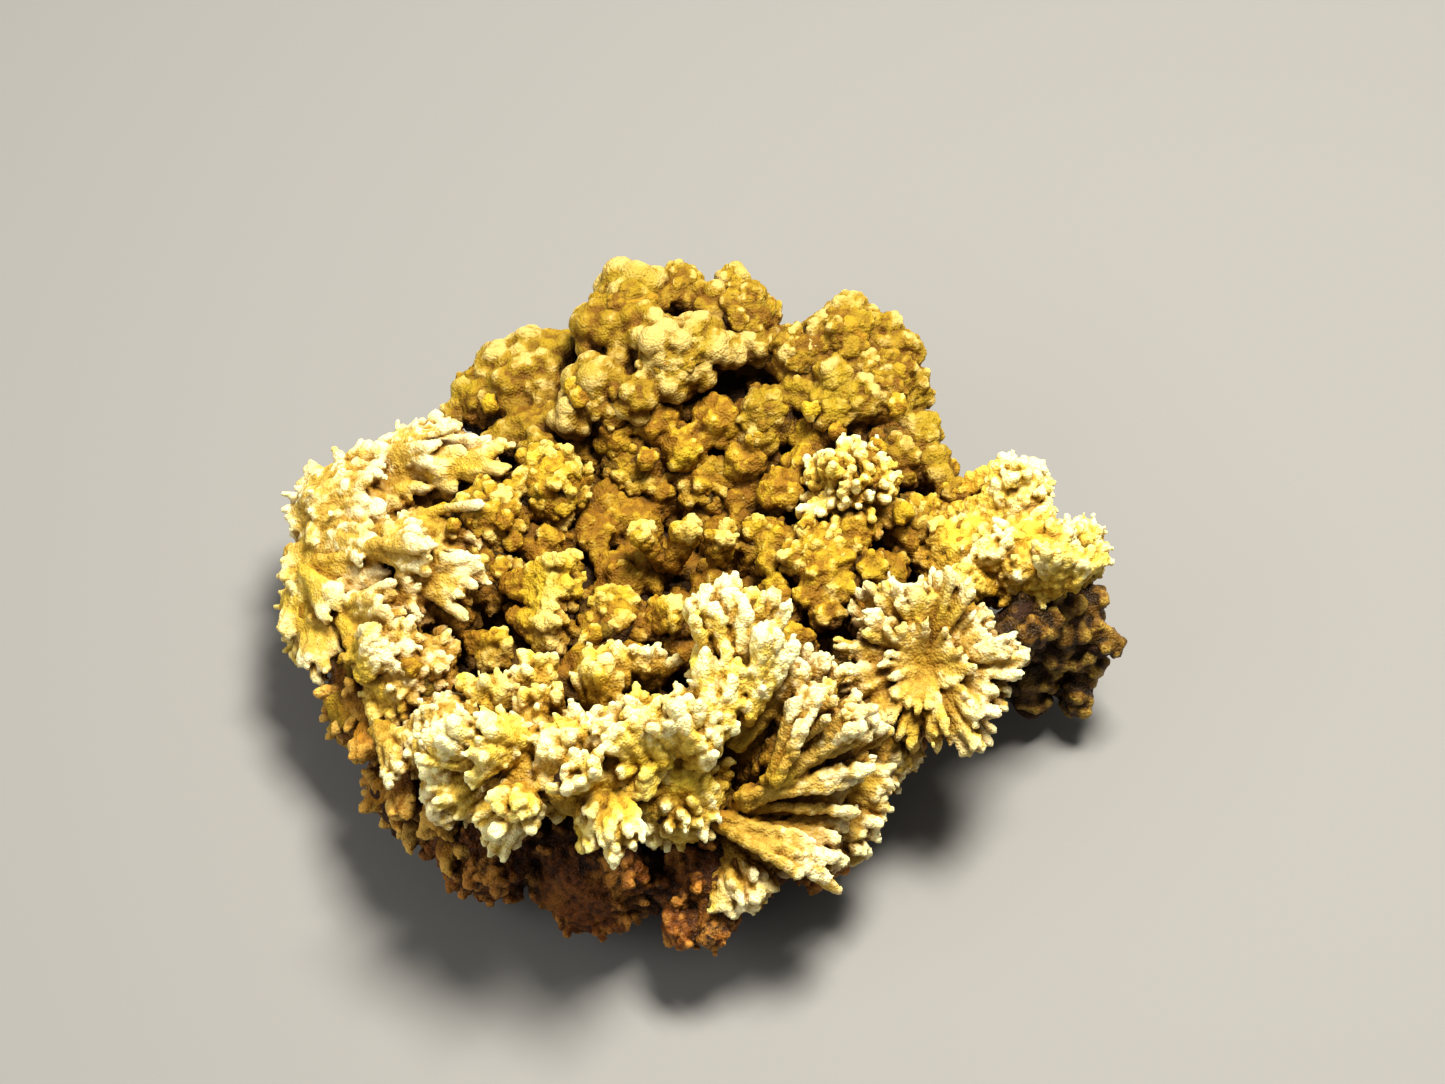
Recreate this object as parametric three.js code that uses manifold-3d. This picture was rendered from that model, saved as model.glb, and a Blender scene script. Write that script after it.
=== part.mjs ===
// Mimetite cluster: a hand specimen of radiating yellow crystals grown into one lump.
// Millimetres, +Z up. The specimen lies on the flat where it was broken off, at z = 0.
// X runs across its display face and Y from its front wall to its rear.
import * as THREE from 'three';
import { mergeVertices } from 'three/addons/utils/BufferGeometryUtils.js';
import Module from 'manifold-3d';

const wasm = await Module();
wasm.setup();

// The display face is looked down on at this angle above the flat that the specimen lies on.
const FACE_ANGLE = THREE.MathUtils.degToRad(55);

// Moves the specimen back so that its middle lies over the origin.
const MOVE_BACK = 6;

// What everything grows from: middle, then half sizes along x, y and z.
const FLOOR = [-3, -1, 3.6, 18, 15.5, 5.6];
const REAR_WALL = [-0.5, 13, 6, 11, 6, 6];

// How far the crystals of a head, the knobs of a head and those of the mass stand out, as a
// share of its radius, and the share by which those of one head differ from each other.
const CRYSTAL_RISE = 0.34;
const KNOB_RISE = 0.12;
const MASS_RISE = 0.15;
const UNEVENNESS = 0.35;
const UNEVEN_ACROSS = 40;         // how fast they differ along x and along y
const UNEVEN_BACK = 30;

// How far each head is turned from the one before, in radians: about x, and about z.
const TURN_ABOUT_X = 0.7;
const TURN_ABOUT_Z = 1;

// Steps along each edge of the icosahedron that a mass, a crystal head or a knob head is made of.
const MASS_GRID = 3;
const CRYSTAL_GRID = 3;
const KNOB_GRID = 2;

// A point of the grid is a tip where it is nearly all one corner's, or is shared by all three.
const ONE_CORNER = 0.99;
const ALL_CORNERS = 0.3;

// Long single crystals: mimetite grows in six-sided prisms, here wider at the tip than at the root.
const CRYSTAL_SIDES = 6;
const ROOT_WIDTH = 0.6;           // radius at the root over radius at the shoulder
const SHOULDER = 0.86;            // where the shoulder is, along the crystal
const SHORTER = 0.16;             // share by which every second crystal of a sheaf is shorter

// Heads of pointed crystals: across, up the face, height of the middle, radius.
const CRYSTAL_HEADS = [
  // left rim and the left flank under it
  [-22, 5.5, 8.5, 4], [-22.4, -0.5, 7, 4], [-17.5, 8, 8.5, 3.8], [-17.8, 2.5, 9.5, 3.6],
  [-19.8, -6, 6.5, 4], [-16.8, -11.2, 5.5, 4], [-17.2, -4.5, 10.4, 3], [-14.6, -8.4, 11.4, 3],
  // front wall
  [-12, -13.8, 6, 4.4], [-5.6, -15.8, 5.5, 4.4], [1, -16, 5.5, 4.2], [7, -13.2, 5.5, 4],
  // ridge
  [-10.5, -9.5, 14, 3.2], [-6.5, -9.5, 15, 3.4], [-2.5, -6.5, 16, 3.2], [1.4, -3.8, 17, 3],
  [-1, -11, 12, 3.6],
  // right side and right lobe
  [17.5, 3, 10, 3.6], [21.5, 2.5, 12, 3.2], [25, 3.3, 11.8, 2.4],
];

// Heads of blunt knobs: across, up the face, height of the middle, radius.
const KNOB_HEADS = [
  // under the sheaf and the star
  [4.8, -8.5, 11, 3.8], [10.6, -8, 7.5, 4.2], [15.2, -3, 8, 4],
  // rear right ridge and the row of knobs in front of it
  [13.4, 9.6, 11, 3.2], [12.6, 14.4, 13.8, 2.6], [10, 17.2, 15.2, 2.4], [7.2, 16, 14.4, 2.3],
  [9.6, 12.8, 13.6, 2.3], [5, 12, 12.6, 2.3],
  // rear cluster
  [3.2, 18.6, 14.8, 2.6], [-0.6, 20.4, 15.4, 1.6], [-1.2, 15.8, 15, 2.7],
  [-4, 18.8, 15, 2.9], [-5.2, 13.2, 13, 2.6],
  // the outcrop to its left
  [-10.4, 15.4, 10.4, 2.2], [-13.2, 13.4, 9.6, 2.6], [-11, 10, 7, 3.8],
  // in and around the hollow
  [-12.8, 5.4, 11.8, 2.6], [-9, 7.6, 12, 2.8], [-12.6, 1.4, 10.2, 2.6], [1, 7.6, 9.2, 2.6],
  [-3.6, 8.8, 9.8, 2.8],
  [5, 3.4, 10.4, 2.2], [8.2, 3, 11.6, 2.5], [10.5, 7.4, 13, 2.8], [14.4, 4.8, 11, 2.4],
  [-5, -1.4, 11.4, 2.7],
  // hanging under the right lobe
  [23.6, 0.2, 9.5, 2], [23.4, -2.4, 7, 2], [25.6, -2, 7.4, 1.7],
  [22, -4.2, 4.4, 1.8], [21.9, -6, 2.6, 1.4], [24.6, -5, 3.6, 1.8], [21, -1.2, 10.4, 2.2],
];

// Pits that the growth closed round: across, up the face, height of the middle, radius.
const PITS = [
  [-0.6, 3.8, 9.6, 2.2], [-9, -3.2, 9.4, 2], [-8, -17.4, 7, 2.4],
];

// Long single crystals, side by side: the first root and the last (across, up, height), the way
// the first and the last point (across, up, towards the eye), length, radius and how many.
const SHEAVES = [
  // the rods to the right of the ridge
  [[3.4, -5, 15], [1.2, -8.6, 15], [5, 6, 2], [5, 4, 2], 7.6, 0.62, 4],
  [[4.6, -8.2, 13], [3.4, -11, 12.5], [6, 3.4, 1.6], [6, 1.6, 1.6], 8.4, 0.66, 4],
  [[9.4, -9.4, 10], [8.6, -12, 9], [6, 2, 1.6], [6, 0, 1.6], 4.8, 0.6, 2],
  // feathery tips of the ridge
  [[2.2, -2.6, 18.4], [3.8, -4, 18], [0.6, 5, 1.4], [4, 5, 1.4], 4.6, 0.6, 3],
  // the spray inside the hollow
  [[-11, 3, 11.6], [-10.4, 0.6, 11.6], [5, 1.4, 2], [5, -1, 2], 4.6, 0.55, 3],
  // the wedge at the right
  [[17.6, 7, 12.6], [19, 5, 12.6], [5, 2.4, 0.6], [5, 3.2, 0.6], 5.2, 0.6, 3],
  // stalks of the front wall
  [[-1.4, -17.6, 4.8], [1.6, -17.4, 4.8], [-0.6, -5, 1], [0.8, -5, 1], 4.6, 0.6, 3],
];

// The star: crystals all round one point of the face.
const STAR_ROOT = [15.6, -4, 11.8];
const STAR_HEAD_RADIUS = 2.2;
const STAR_CRYSTALS = 14;
const STAR_CRYSTAL_RADIUS = 0.62;
const STAR_LENGTH = 6.2;
const STAR_LIFTS = [0.25, 0.7];   // how far its crystals lean out of the face, in turn

// Points closer together than this are merged where solids are joined.
const JOIN_TOLERANCE = 0.45;
const SAME_POINT = 1e-4;          // and where the triangles of one geometry meet

// A box that takes away all that would hang below the flat.
const BELOW_WIDTH = 200;
const BELOW_DEPTH = 40;

const MIMETITE = new THREE.MeshStandardMaterial({ color: 0xd9bf62, roughness: 0.62, metalness: 0 });

// A point of the specimen from its place on the display face and its height above the flat.
function onFace(across, up, height) {
  const back = (up - height * Math.cos(FACE_ANGLE)) / Math.sin(FACE_ANGLE);
  return new THREE.Vector3(across, back + MOVE_BACK, height);
}

// A direction from its parts across the face, up the face and towards the eye.
function faceDirection(across, up, out) {
  const y = up * Math.sin(FACE_ANGLE) - out * Math.cos(FACE_ANGLE);
  const z = up * Math.cos(FACE_ANGLE) + out * Math.sin(FACE_ANGLE);
  return new THREE.Vector3(across, y, z).normalize();
}

// A closed three.js geometry as a solid that can be joined and cut.
function solidOf(geometry) {
  const bare = geometry.clone();
  bare.deleteAttribute('normal');
  bare.deleteAttribute('uv');
  const merged = mergeVertices(bare, SAME_POINT);
  return new wasm.Manifold(new wasm.Mesh({
    numProp: 3,
    tolerance: JOIN_TOLERANCE,
    vertProperties: new Float32Array(merged.attributes.position.array),
    triVerts: new Uint32Array(merged.index.array),
  }));
}

function joined(solids) {
  return solids.reduce((whole, solid) => whole.add(solid));
}

// A ball of triangles whose points are moved by place(direction, isTip). It is an icosahedron
// with gridSteps steps along each edge, and the tips are its corners and, on a grid that has
// one, the middle of each side: 12 crystals on a grid of 2 steps and 32 on a grid of 3.
function crystalBall(gridSteps, place) {
  const geometry = new THREE.IcosahedronGeometry(1, gridSteps - 1);
  const corners = new THREE.IcosahedronGeometry(1, 0).attributes.position;
  const points = geometry.attributes.position;
  const pointsPerSide = points.count / 20;
  const toShares = new THREE.Matrix3();
  for (let i = 0; i < points.count; i += 1) {
    const side = Math.floor(i / pointsPerSide);
    const [a, b, c] = [0, 1, 2].map((k) => new THREE.Vector3().fromBufferAttribute(corners, 3 * side + k));
    toShares.set(a.x, b.x, c.x, a.y, b.y, c.y, a.z, b.z, c.z).invert();
    const direction = new THREE.Vector3().fromBufferAttribute(points, i);
    const { x, y, z } = direction.clone().applyMatrix3(toShares);
    const sum = x + y + z;
    const isTip = Math.max(x, y, z) > ONE_CORNER * sum || Math.min(x, y, z) > ALL_CORNERS * sum;
    const placed = place(direction, isTip);
    points.setXYZ(i, placed.x, placed.y, placed.z);
  }
  return solidOf(geometry);
}

// A broad mass with blunt crystals: an ellipsoid given by its middle and its half sizes.
function mass([x, y, z, ...halfSizes]) {
  const middle = new THREE.Vector3(x, y, z);
  const sizes = new THREE.Vector3(...halfSizes);
  return crystalBall(MASS_GRID, (direction, isTip) => {
    return direction.multiply(sizes).multiplyScalar(isTip ? 1 + MASS_RISE : 1).add(middle);
  });
}

// A round head with crystals that stand out by rise, each head turned its own way.
function head([across, up, height, radius], gridSteps, rise, turn) {
  const middle = onFace(across, up, height);
  const angles = new THREE.Euler(turn * TURN_ABOUT_X, 0, turn * TURN_ABOUT_Z);
  const spin = new THREE.Quaternion().setFromEuler(angles);
  return crystalBall(gridSteps, (direction, isTip) => {
    const wave = Math.sin(UNEVEN_ACROSS * direction.x + UNEVEN_BACK * direction.y + turn);
    const uneven = 1 + UNEVENNESS * wave;
    const reach = isTip ? radius * (1 + rise * uneven) : radius;
    return direction.applyQuaternion(spin).multiplyScalar(reach).add(middle);
  });
}

// A six-sided crystal with a shoulder and a blunt point, from its root along a direction.
function crystal(root, direction, length, radius) {
  const profile = [
    new THREE.Vector2(0, 0),
    new THREE.Vector2(radius * ROOT_WIDTH, 0),
    new THREE.Vector2(radius, length * SHOULDER),
    new THREE.Vector2(0, length),
  ];
  const geometry = new THREE.LatheGeometry(profile, CRYSTAL_SIDES);
  const turn = new THREE.Quaternion().setFromUnitVectors(new THREE.Vector3(0, 1, 0), direction);
  geometry.applyQuaternion(turn);
  geometry.translate(root.x, root.y, root.z);
  return solidOf(geometry);
}

function sheaf([firstRoot, lastRoot, firstWay, lastWay, length, radius, count]) {
  return Array.from({ length: count }, (_, i) => {
    const share = i / (count - 1);
    const root = onFace(...firstRoot).lerp(onFace(...lastRoot), share);
    const way = faceDirection(...firstWay).lerp(faceDirection(...lastWay), share).normalize();
    return crystal(root, way, length * (1 - SHORTER * (i % 2)), radius);
  });
}

function star() {
  const root = onFace(...STAR_ROOT);
  const crystals = Array.from({ length: STAR_CRYSTALS }, (_, i) => {
    const angle = 2 * Math.PI * i / STAR_CRYSTALS;
    const direction = faceDirection(Math.cos(angle), Math.sin(angle), STAR_LIFTS[i % 2]);
    return crystal(root, direction, STAR_LENGTH, STAR_CRYSTAL_RADIUS);
  });
  return [head([...STAR_ROOT, STAR_HEAD_RADIUS], KNOB_GRID, 0, 0), ...crystals];
}

// The surface of a solid, without the pockets that are sealed in between its heads. A pocket
// is a shell of its own that faces inwards, so the volume counted from its faces is negative.
function openSurface(solid) {
  const { vertProperties, triVerts } = solid.getMesh();
  const linkedTo = Array.from({ length: vertProperties.length / 3 }, (_, i) => i);
  const shellOf = (i) => {
    let last = i;
    while (linkedTo[last] !== last) last = linkedTo[last];
    linkedTo[i] = last;
    return last;
  };
  triVerts.forEach((corner, i) => {
    linkedTo[shellOf(corner)] = shellOf(triVerts[i - i % 3]);
  });
  const corner = (i) => new THREE.Vector3().fromArray(vertProperties, 3 * triVerts[i]);
  const volumes = new Map();
  for (let i = 0; i < triVerts.length; i += 3) {
    const shell = shellOf(triVerts[i]);
    const volume = corner(i).dot(corner(i + 1).cross(corner(i + 2))) / 6;
    volumes.set(shell, (volumes.get(shell) ?? 0) + volume);
  }
  const geometry = new THREE.BufferGeometry();
  geometry.setAttribute('position', new THREE.BufferAttribute(vertProperties, 3));
  geometry.setIndex([...triVerts].filter((point) => volumes.get(shellOf(point)) > 0));
  geometry.computeVertexNormals();
  return geometry;
}

const below = new THREE.BoxGeometry(BELOW_WIDTH, BELOW_WIDTH, BELOW_DEPTH);
below.translate(0, 0, -BELOW_DEPTH / 2);

const whole = mass(FLOOR)
  .add(mass(REAR_WALL))
  .add(joined(CRYSTAL_HEADS.map((place, i) => head(place, CRYSTAL_GRID, CRYSTAL_RISE, i))))
  .add(joined(KNOB_HEADS.map((place, i) => head(place, KNOB_GRID, KNOB_RISE, i))))
  .subtract(joined(PITS.map((place, i) => head(place, KNOB_GRID, 0, i))))
  .add(joined(SHEAVES.flatMap(sheaf)))
  .add(joined(star()))
  .subtract(solidOf(below));

const cluster = new THREE.Mesh(openSurface(whole), MIMETITE);
cluster.name = 'mimetite_cluster';

const group = new THREE.Group();
group.add(cluster);
export default group;
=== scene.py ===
import bpy
import numpy as np
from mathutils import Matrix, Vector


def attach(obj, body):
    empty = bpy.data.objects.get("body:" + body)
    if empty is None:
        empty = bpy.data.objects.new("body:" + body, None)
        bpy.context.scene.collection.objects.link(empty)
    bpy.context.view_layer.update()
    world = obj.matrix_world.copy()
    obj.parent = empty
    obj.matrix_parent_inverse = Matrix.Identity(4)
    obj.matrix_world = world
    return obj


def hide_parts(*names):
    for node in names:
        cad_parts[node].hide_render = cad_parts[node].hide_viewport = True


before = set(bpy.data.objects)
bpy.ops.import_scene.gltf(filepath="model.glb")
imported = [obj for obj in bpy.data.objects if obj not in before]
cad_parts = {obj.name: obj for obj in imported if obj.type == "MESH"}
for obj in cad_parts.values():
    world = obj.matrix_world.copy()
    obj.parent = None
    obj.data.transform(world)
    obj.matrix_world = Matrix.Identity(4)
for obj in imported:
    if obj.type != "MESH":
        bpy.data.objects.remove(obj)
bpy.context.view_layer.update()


# --------------------------------------------------
# The rock. Mimetite grew outwards from many centres on a lump of porous brown limonite, until
# the centres joined. The lump is the core that every spray and knob below is rooted in, and it
# is broken off flat underneath, where it lies.
# --------------------------------------------------
FACE_ANGLE = np.radians(55)      # the display face is looked down on at this angle
MOVE_BACK = 6.0                  # millimetres, as are all sizes until a mesh is made
ACROSS = np.array([1.0, 0.0, 0.0])
UP_FACE = np.array([0.0, np.sin(FACE_ANGLE), np.cos(FACE_ANGLE)])
TO_EYE = np.array([0.0, -np.cos(FACE_ANGLE), np.sin(FACE_ANGLE)])

FLOOR = [-3, -1, 3.6, 18, 15.5, 5.6]            # middle, then half sizes along x, y and z
REAR_WALL = [-0.5, 13, 6, 11, 6, 6]
MASSES = np.array([FLOOR, REAR_WALL], float)
CORE_SHARE = 0.84                # of a head's radius that is rock
ROCK_VOXEL = 0.46
ROCK_ROUGHNESS = 0.3
ROCK_SWELLS = ((0.8, 2.6, 1), (0.7, 1.3, 2))    # height over the roughness, size and seed
ROCK_GRAINS = ((2.6, 1.3, 8), (1.4, 0.8, 9))
GRAIN_REST = 0.7                 # height of a grain that leaves the rock as it is
PIT_DEPTH = 1.6
PIT_REACH = 1.5                  # of a pit's slope, over its radius
GROUND_ROUGH = 0.05
GROUND_WAVE = 2.0
# Painted light and shade on the rock: its swells and grains are painted paler and its pits darker.
ROCK_TIP = 0.3                   # how far from root to tip the rock counts, and how much
ROCK_BUMP_PAINTED_LIGHT = 0.4              # further its bumps do
ROCK_TONE_WAVE = 2.5
ROCK_FILM = 0.35                 # share of oxide on most of the rock
# In front of the wall line, the dark coating is partly oxide and partly painted shadow of the
# lower side.
WALL_Y = -9                      # all of the rock in front of this is coated
HANGING_X = 19                   # and all to the right of this and in front of the next
HANGING_Y = -0.5
GRAIN_TABLE = 32                 # cells along each side of the table of grains, which repeats

# Where the heads are: across, up the face, height of the middle, radius.
LEFT_RIM = [[-22, 5.5, 8.5, 4], [-22.4, -0.5, 7, 4], [-17.5, 8, 8.5, 3.8], [-17.8, 2.5, 9.5, 3.6]]
LEFT_FLANK = [[-19.8, -6, 6.5, 4], [-16.8, -11.2, 5.5, 4], [-17.2, -4.5, 10.4, 3],
              [-14.6, -8.4, 11.4, 3]]
FRONT_WALL = [[-12, -13.8, 6, 4.4], [-5.6, -15.8, 5.5, 4.4], [1, -16, 5.5, 4.2],
              [7, -13.2, 5.5, 4]]
RIDGE = [[-10.5, -9.5, 14, 3.2], [-6.5, -9.5, 15, 3.2], [-2.6, -8, 15.4, 2.7],
         [2.6, -4, 16.8, 2.6], [-1, -11, 12, 3.6]]
RIGHT_LOBE = [[17.5, 3, 10, 3.6], [21.3, 2.6, 12, 3.2], [24.2, 3.3, 11.6, 2.2]]
UNDER_SHEAF = [[4.8, -8.5, 11, 3.8], [10.6, -8, 7.5, 4.2], [15.2, -3, 8, 4]]
REAR_RIGHT = [[13.4, 9.6, 11, 3.2], [12.6, 14.4, 13.8, 2.6], [10, 17.2, 15.2, 2.4],
              [7.2, 16, 14.4, 2.3], [9.6, 12.8, 13.6, 2.3], [5, 12, 12.6, 2.3]]
REAR_CLUSTER = [[3.2, 18.6, 14.8, 2.6], [-0.6, 20.4, 15.4, 1.6], [-1.2, 15.8, 15, 2.7],
                [-4, 18.8, 15, 2.9], [-5.2, 13.2, 13, 2.6]]
OUTCROP = [[-10.4, 15.4, 10.4, 2.2], [-13.2, 13.4, 9.6, 2.6], [-11, 10, 7, 3.8]]
HOLLOW = [[-12.8, 5.4, 11.8, 2.6], [-9, 7.6, 12, 2.8], [-12.6, 1.4, 10.2, 2.6], [1, 7.6, 9.2, 2.6],
          [-3.6, 8.8, 9.8, 2.8], [5, 3.4, 10.4, 2.2], [8.2, 3, 11.6, 2.5], [10.5, 7.4, 13, 2.8],
          [14.4, 4.8, 11, 2.4], [-5, -1.4, 11.4, 2.7]]
HANGING = [[23.6, 0.2, 9.5, 2], [23.4, -2.4, 7, 2], [25.6, -2, 7.4, 1.7], [22, -4.2, 4.4, 1.8],
           [21.9, -6, 2.6, 1.4], [24.6, -5, 3.6, 1.8], [21, -1.2, 10.4, 2.2]]
STAR = [[15.6, -4, 10.8, 2.2]]
# Rock that fills the gaps under the heads, and pits that stay open.
FILLING = [[-4.5, 14.8, 8.5, 3.2], [5.1, 14.8, 8.5, 3.4], [12.4, 5.6, 7, 4], [15.4, 2.4, 5.5, 3.6],
           [9, 11, 8, 4.5], [1, 12, 7, 5], [-9, 12, 6.5, 3.6], [0.6, 18, 11, 2.4]]
PITS = [[-0.6, 3.8, 9.6, 2.4], [-13.6, -4.6, 9.6, 2.2], [-8, -18, 7.4, 3.2],
        [2.4, 10.6, 10.4, 2.2], [3.4, -1.2, 11, 1.8]]


def on_face(across, up, height):
    """Place on the display face to x, y, z: y is what makes up = y sin(angle) + z cos(angle)."""
    back = (up - height * np.cos(FACE_ANGLE)) / np.sin(FACE_ANGLE) + MOVE_BACK
    return np.stack(np.broadcast_arrays(across, back, height), axis=-1).astype(float)


def laid_out(heads):
    """The middles of heads as x, y, z, and their radii."""
    heads = np.array(heads, float)
    return on_face(*heads[:, :3].T), heads[:, 3]


HEAD_MIDDLES, HEAD_RADII = laid_out(
    LEFT_RIM + LEFT_FLANK + FRONT_WALL + RIDGE + RIGHT_LOBE + UNDER_SHEAF + REAR_RIGHT
    + REAR_CLUSTER + OUTCROP + HOLLOW + HANGING + STAR)
PIT_MIDDLES, PIT_RADII = laid_out(PITS)
GOLDEN_TURN = np.pi * (3 - np.sqrt(5))


def unit(vectors):
    """Each vector over its own length."""
    return vectors / np.linalg.norm(vectors, axis=-1, keepdims=True)


def even_directions(count):
    """Points spread evenly over a sphere: equal steps in z, a golden-angle turn at each step."""
    steps = np.arange(count) + 0.5
    z = 1 - 2 * steps / count
    turn = GOLDEN_TURN * steps
    flat = np.sqrt(1 - z ** 2)
    return np.stack([flat * np.cos(turn), flat * np.sin(turn), z], axis=1)


def waves(points, size, seed):
    """Smooth noise from about -1 to 1: the mean of eight sine waves of about one size, each
    along its own random direction and with its own phase, times 1.8."""
    rng = np.random.default_rng(seed)
    ways = unit(rng.normal(size=(8, 3))) * 2 * np.pi / (size * rng.uniform(0.7, 1.4, (8, 1)))
    return np.sin(points @ ways.T + rng.uniform(0, 2 * np.pi, 8)).mean(axis=1) * 1.8


def tube_faces(sides, rings):
    """Triangles of a tube of rings by sides whose ends are closed to two more points: the
    first ring to the point before last, the last ring to the last point. They face outwards
    where the sides turn left-handed about the way from the last ring to the first."""
    ring, side = np.meshgrid(np.arange(rings - 1), np.arange(sides), indexing="ij")
    after = (side + 1) % sides
    a, b = ring * sides + side, ring * sides + after
    c, d = a + sides, b + sides
    quads = np.stack([np.stack([a, c, d], -1), np.stack([a, d, b], -1)], 2).reshape(-1, 3)
    side = np.arange(sides)
    after = (side + 1) % sides
    first = np.stack([np.full(sides, rings * sides), side, after], -1)
    last = np.stack([np.full(sides, rings * sides + 1), (rings - 1) * sides + after,
                     (rings - 1) * sides + side], -1)
    return np.concatenate([quads, first, last])


def ball_grid(sides, rings):
    """Unit directions on a grid of rings by sides, and its triangles, closed at both poles."""
    polar = np.pi * np.arange(1, rings + 1) / (rings + 1)
    round_ = 2 * np.pi * np.arange(sides) / sides
    polar, round_ = np.meshgrid(polar, round_, indexing="ij")
    body = np.stack([np.sin(polar) * np.cos(round_), np.sin(polar) * np.sin(round_),
                     np.cos(polar)], axis=-1).reshape(-1, 3)
    return np.concatenate([body, [[0, 0, 1], [0, 0, -1]]]), tube_faces(sides, rings)


def repeated(faces, each, count):
    """The faces of count like shapes that follow each other, with each points to a shape."""
    return (faces[None] + each * np.arange(count)[:, None, None]).reshape(-1, 3)


def put_triangles(mesh, points, faces):
    """Puts triangles in an empty mesh, from arrays."""
    mesh.vertices.add(len(points))
    mesh.vertices.foreach_set("co", points.astype(np.float32).ravel())
    mesh.loops.add(faces.size)
    mesh.loops.foreach_set("vertex_index", faces.astype(np.int32).ravel())
    mesh.polygons.add(len(faces))
    mesh.polygons.foreach_set("loop_start", np.arange(0, faces.size, 3, dtype=np.int32))
    mesh.update(calc_edges=True)


def new_object(name, data):
    """An object in the scene that shows the data."""
    made = bpy.data.objects.new(name, data)
    bpy.context.scene.collection.objects.link(made)
    return made


def fused(points, faces, voxel):
    """The outside of everything that lies in any of the closed shapes, which grow into one:
    a voxel remesh, with cells of the given size. Returns points, faces and point normals."""
    source = bpy.data.meshes.new("loose")
    put_triangles(source, points, faces)
    loose = new_object("loose", source)
    fuse = loose.modifiers.new("fuse", "REMESH")
    fuse.mode = "VOXEL"
    fuse.voxel_size = voxel
    bpy.context.view_layer.update()
    grown = loose.evaluated_get(bpy.context.evaluated_depsgraph_get())
    mesh = bpy.data.meshes.new_from_object(grown)
    mesh.calc_loop_triangles()
    out_points, out_normals = np.empty((2, len(mesh.vertices) * 3), np.float32)
    mesh.vertices.foreach_get("co", out_points)
    mesh.vertices.foreach_get("normal", out_normals)
    out_faces = np.empty(len(mesh.loop_triangles) * 3, np.int32)
    mesh.loop_triangles.foreach_get("vertices", out_faces)
    bpy.data.objects.remove(loose)
    bpy.data.meshes.remove(source)
    bpy.data.meshes.remove(mesh)
    return (out_points.reshape(-1, 3).astype(float), out_faces.reshape(-1, 3),
            out_normals.reshape(-1, 3).astype(float))


def crystals(points, size, seed, ways=None, stretch=1.0):
    """Height of rounded grains at points, 0 to 1: one less the square of the distance to the
    nearest grain's middle over the size. Each cubic cell has one grain, somewhere in it. Where
    ways are given, distances along them count less, by up to stretch times for a way of length
    one, so the grains there are strokes."""
    table = np.random.default_rng(seed).uniform(size=(GRAIN_TABLE,) * 3 + (3,))
    place = points / size
    cell = np.floor(place).astype(int)
    nearest = np.ones(len(points))
    window = 3
    if ways is not None:
        window = 5
        strength = np.linalg.norm(ways, axis=1)
        ways = ways / np.maximum(strength, 1e-6)[:, None]
        less = 1 - 1 / (1 + (stretch - 1) * np.minimum(strength, 1)) ** 2
    for step in np.ndindex(window, window, window):
        other = cell + np.array(step) - window // 2
        away = place - other - table[tuple((other % GRAIN_TABLE).T)]
        square = (away ** 2).sum(axis=1)
        if ways is not None:
            square = square - less * (away * ways).sum(axis=1) ** 2
        nearest = np.minimum(nearest, square)
    return 1 - nearest


def rest_on_ground(points):
    """Lifts the points that lie lower than the ground, which waves by its roughness."""
    ground = GROUND_ROUGH + GROUND_ROUGH * waves(points, GROUND_WAVE, 3)
    points[:, 2] = np.maximum(points[:, 2], ground)


GROWN = []                       # mesh, points, faces and marks of every piece


def make_piece(name, points, faces, marks, material):
    """A piece of the specimen, with marks as one number a point each. Its mesh is filled at the
    end, when all that hides it is known."""
    mesh = bpy.data.meshes.new(name)
    mesh.materials.append(material)
    piece = new_object(name, mesh)
    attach(piece, "root")
    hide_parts("mimetite_cluster")
    GROWN.append((mesh, points, faces, marks))


def new_group(name, inputs, output, kind):
    """A shader node group with inputs given as name: kind and one output. Returns its tree, the
    sockets that bring the inputs and the socket of the output."""
    tree = bpy.data.node_groups.new(name, "ShaderNodeTree")
    for socket, its_kind in inputs.items():
        tree.interface.new_socket(name=socket, in_out="INPUT", socket_type=its_kind)
    tree.interface.new_socket(name=output, in_out="OUTPUT", socket_type=kind)
    given = tree.nodes.new("NodeGroupInput").outputs
    return tree, given, tree.nodes.new("NodeGroupOutput").inputs[output]


def set_inputs(tree, node, inputs):
    """Links or sets inputs of a node: each is a socket, a number, a vector or r, g, b."""
    for name, value in inputs.items():
        socket = node.inputs[name]
        if isinstance(value, bpy.types.NodeSocket):
            tree.links.new(value, socket)
        elif socket.type == "RGBA":
            socket.default_value = (*value, 1)
        else:
            socket.default_value = value


def add_node(tree, kind, inputs, **settings):
    """A shader node with its settings and inputs; returns its outputs."""
    node = tree.nodes.new(kind)
    for setting, value in settings.items():
        setattr(node, setting, value)
    set_inputs(tree, node, inputs)
    return node.outputs


def noise(tree, place, scale, detail, roughness=0.6):
    """A noise texture's factor at a place given in millimetres; scale is in cells a millimetre."""
    return add_node(tree, "ShaderNodeTexNoise", {
        "Vector": place, "Scale": scale, "Detail": detail, "Roughness": roughness})["Fac"]


def spread(tree, value, from_low, from_high, to_low=0.0, to_high=1.0):
    """A value mapped from one span to another, smoothly and without passing its ends."""
    return add_node(tree, "ShaderNodeMapRange", {
        "Value": value, "From Min": from_low, "From Max": from_high, "To Min": to_low,
        "To Max": to_high}, interpolation_type="SMOOTHSTEP")["Result"]


def maths(tree, operation, *values):
    """One arithmetic node; each value is a socket or a number."""
    return add_node(tree, "ShaderNodeMath", dict(enumerate(values)), operation=operation)["Value"]


def pushed(tree, value, by, amount, rest=0.5):
    """A value raised by amount times how far another value lies above its rest."""
    return maths(tree, "ADD", value, maths(tree, "MULTIPLY_ADD", by, amount, -amount * rest))


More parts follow.
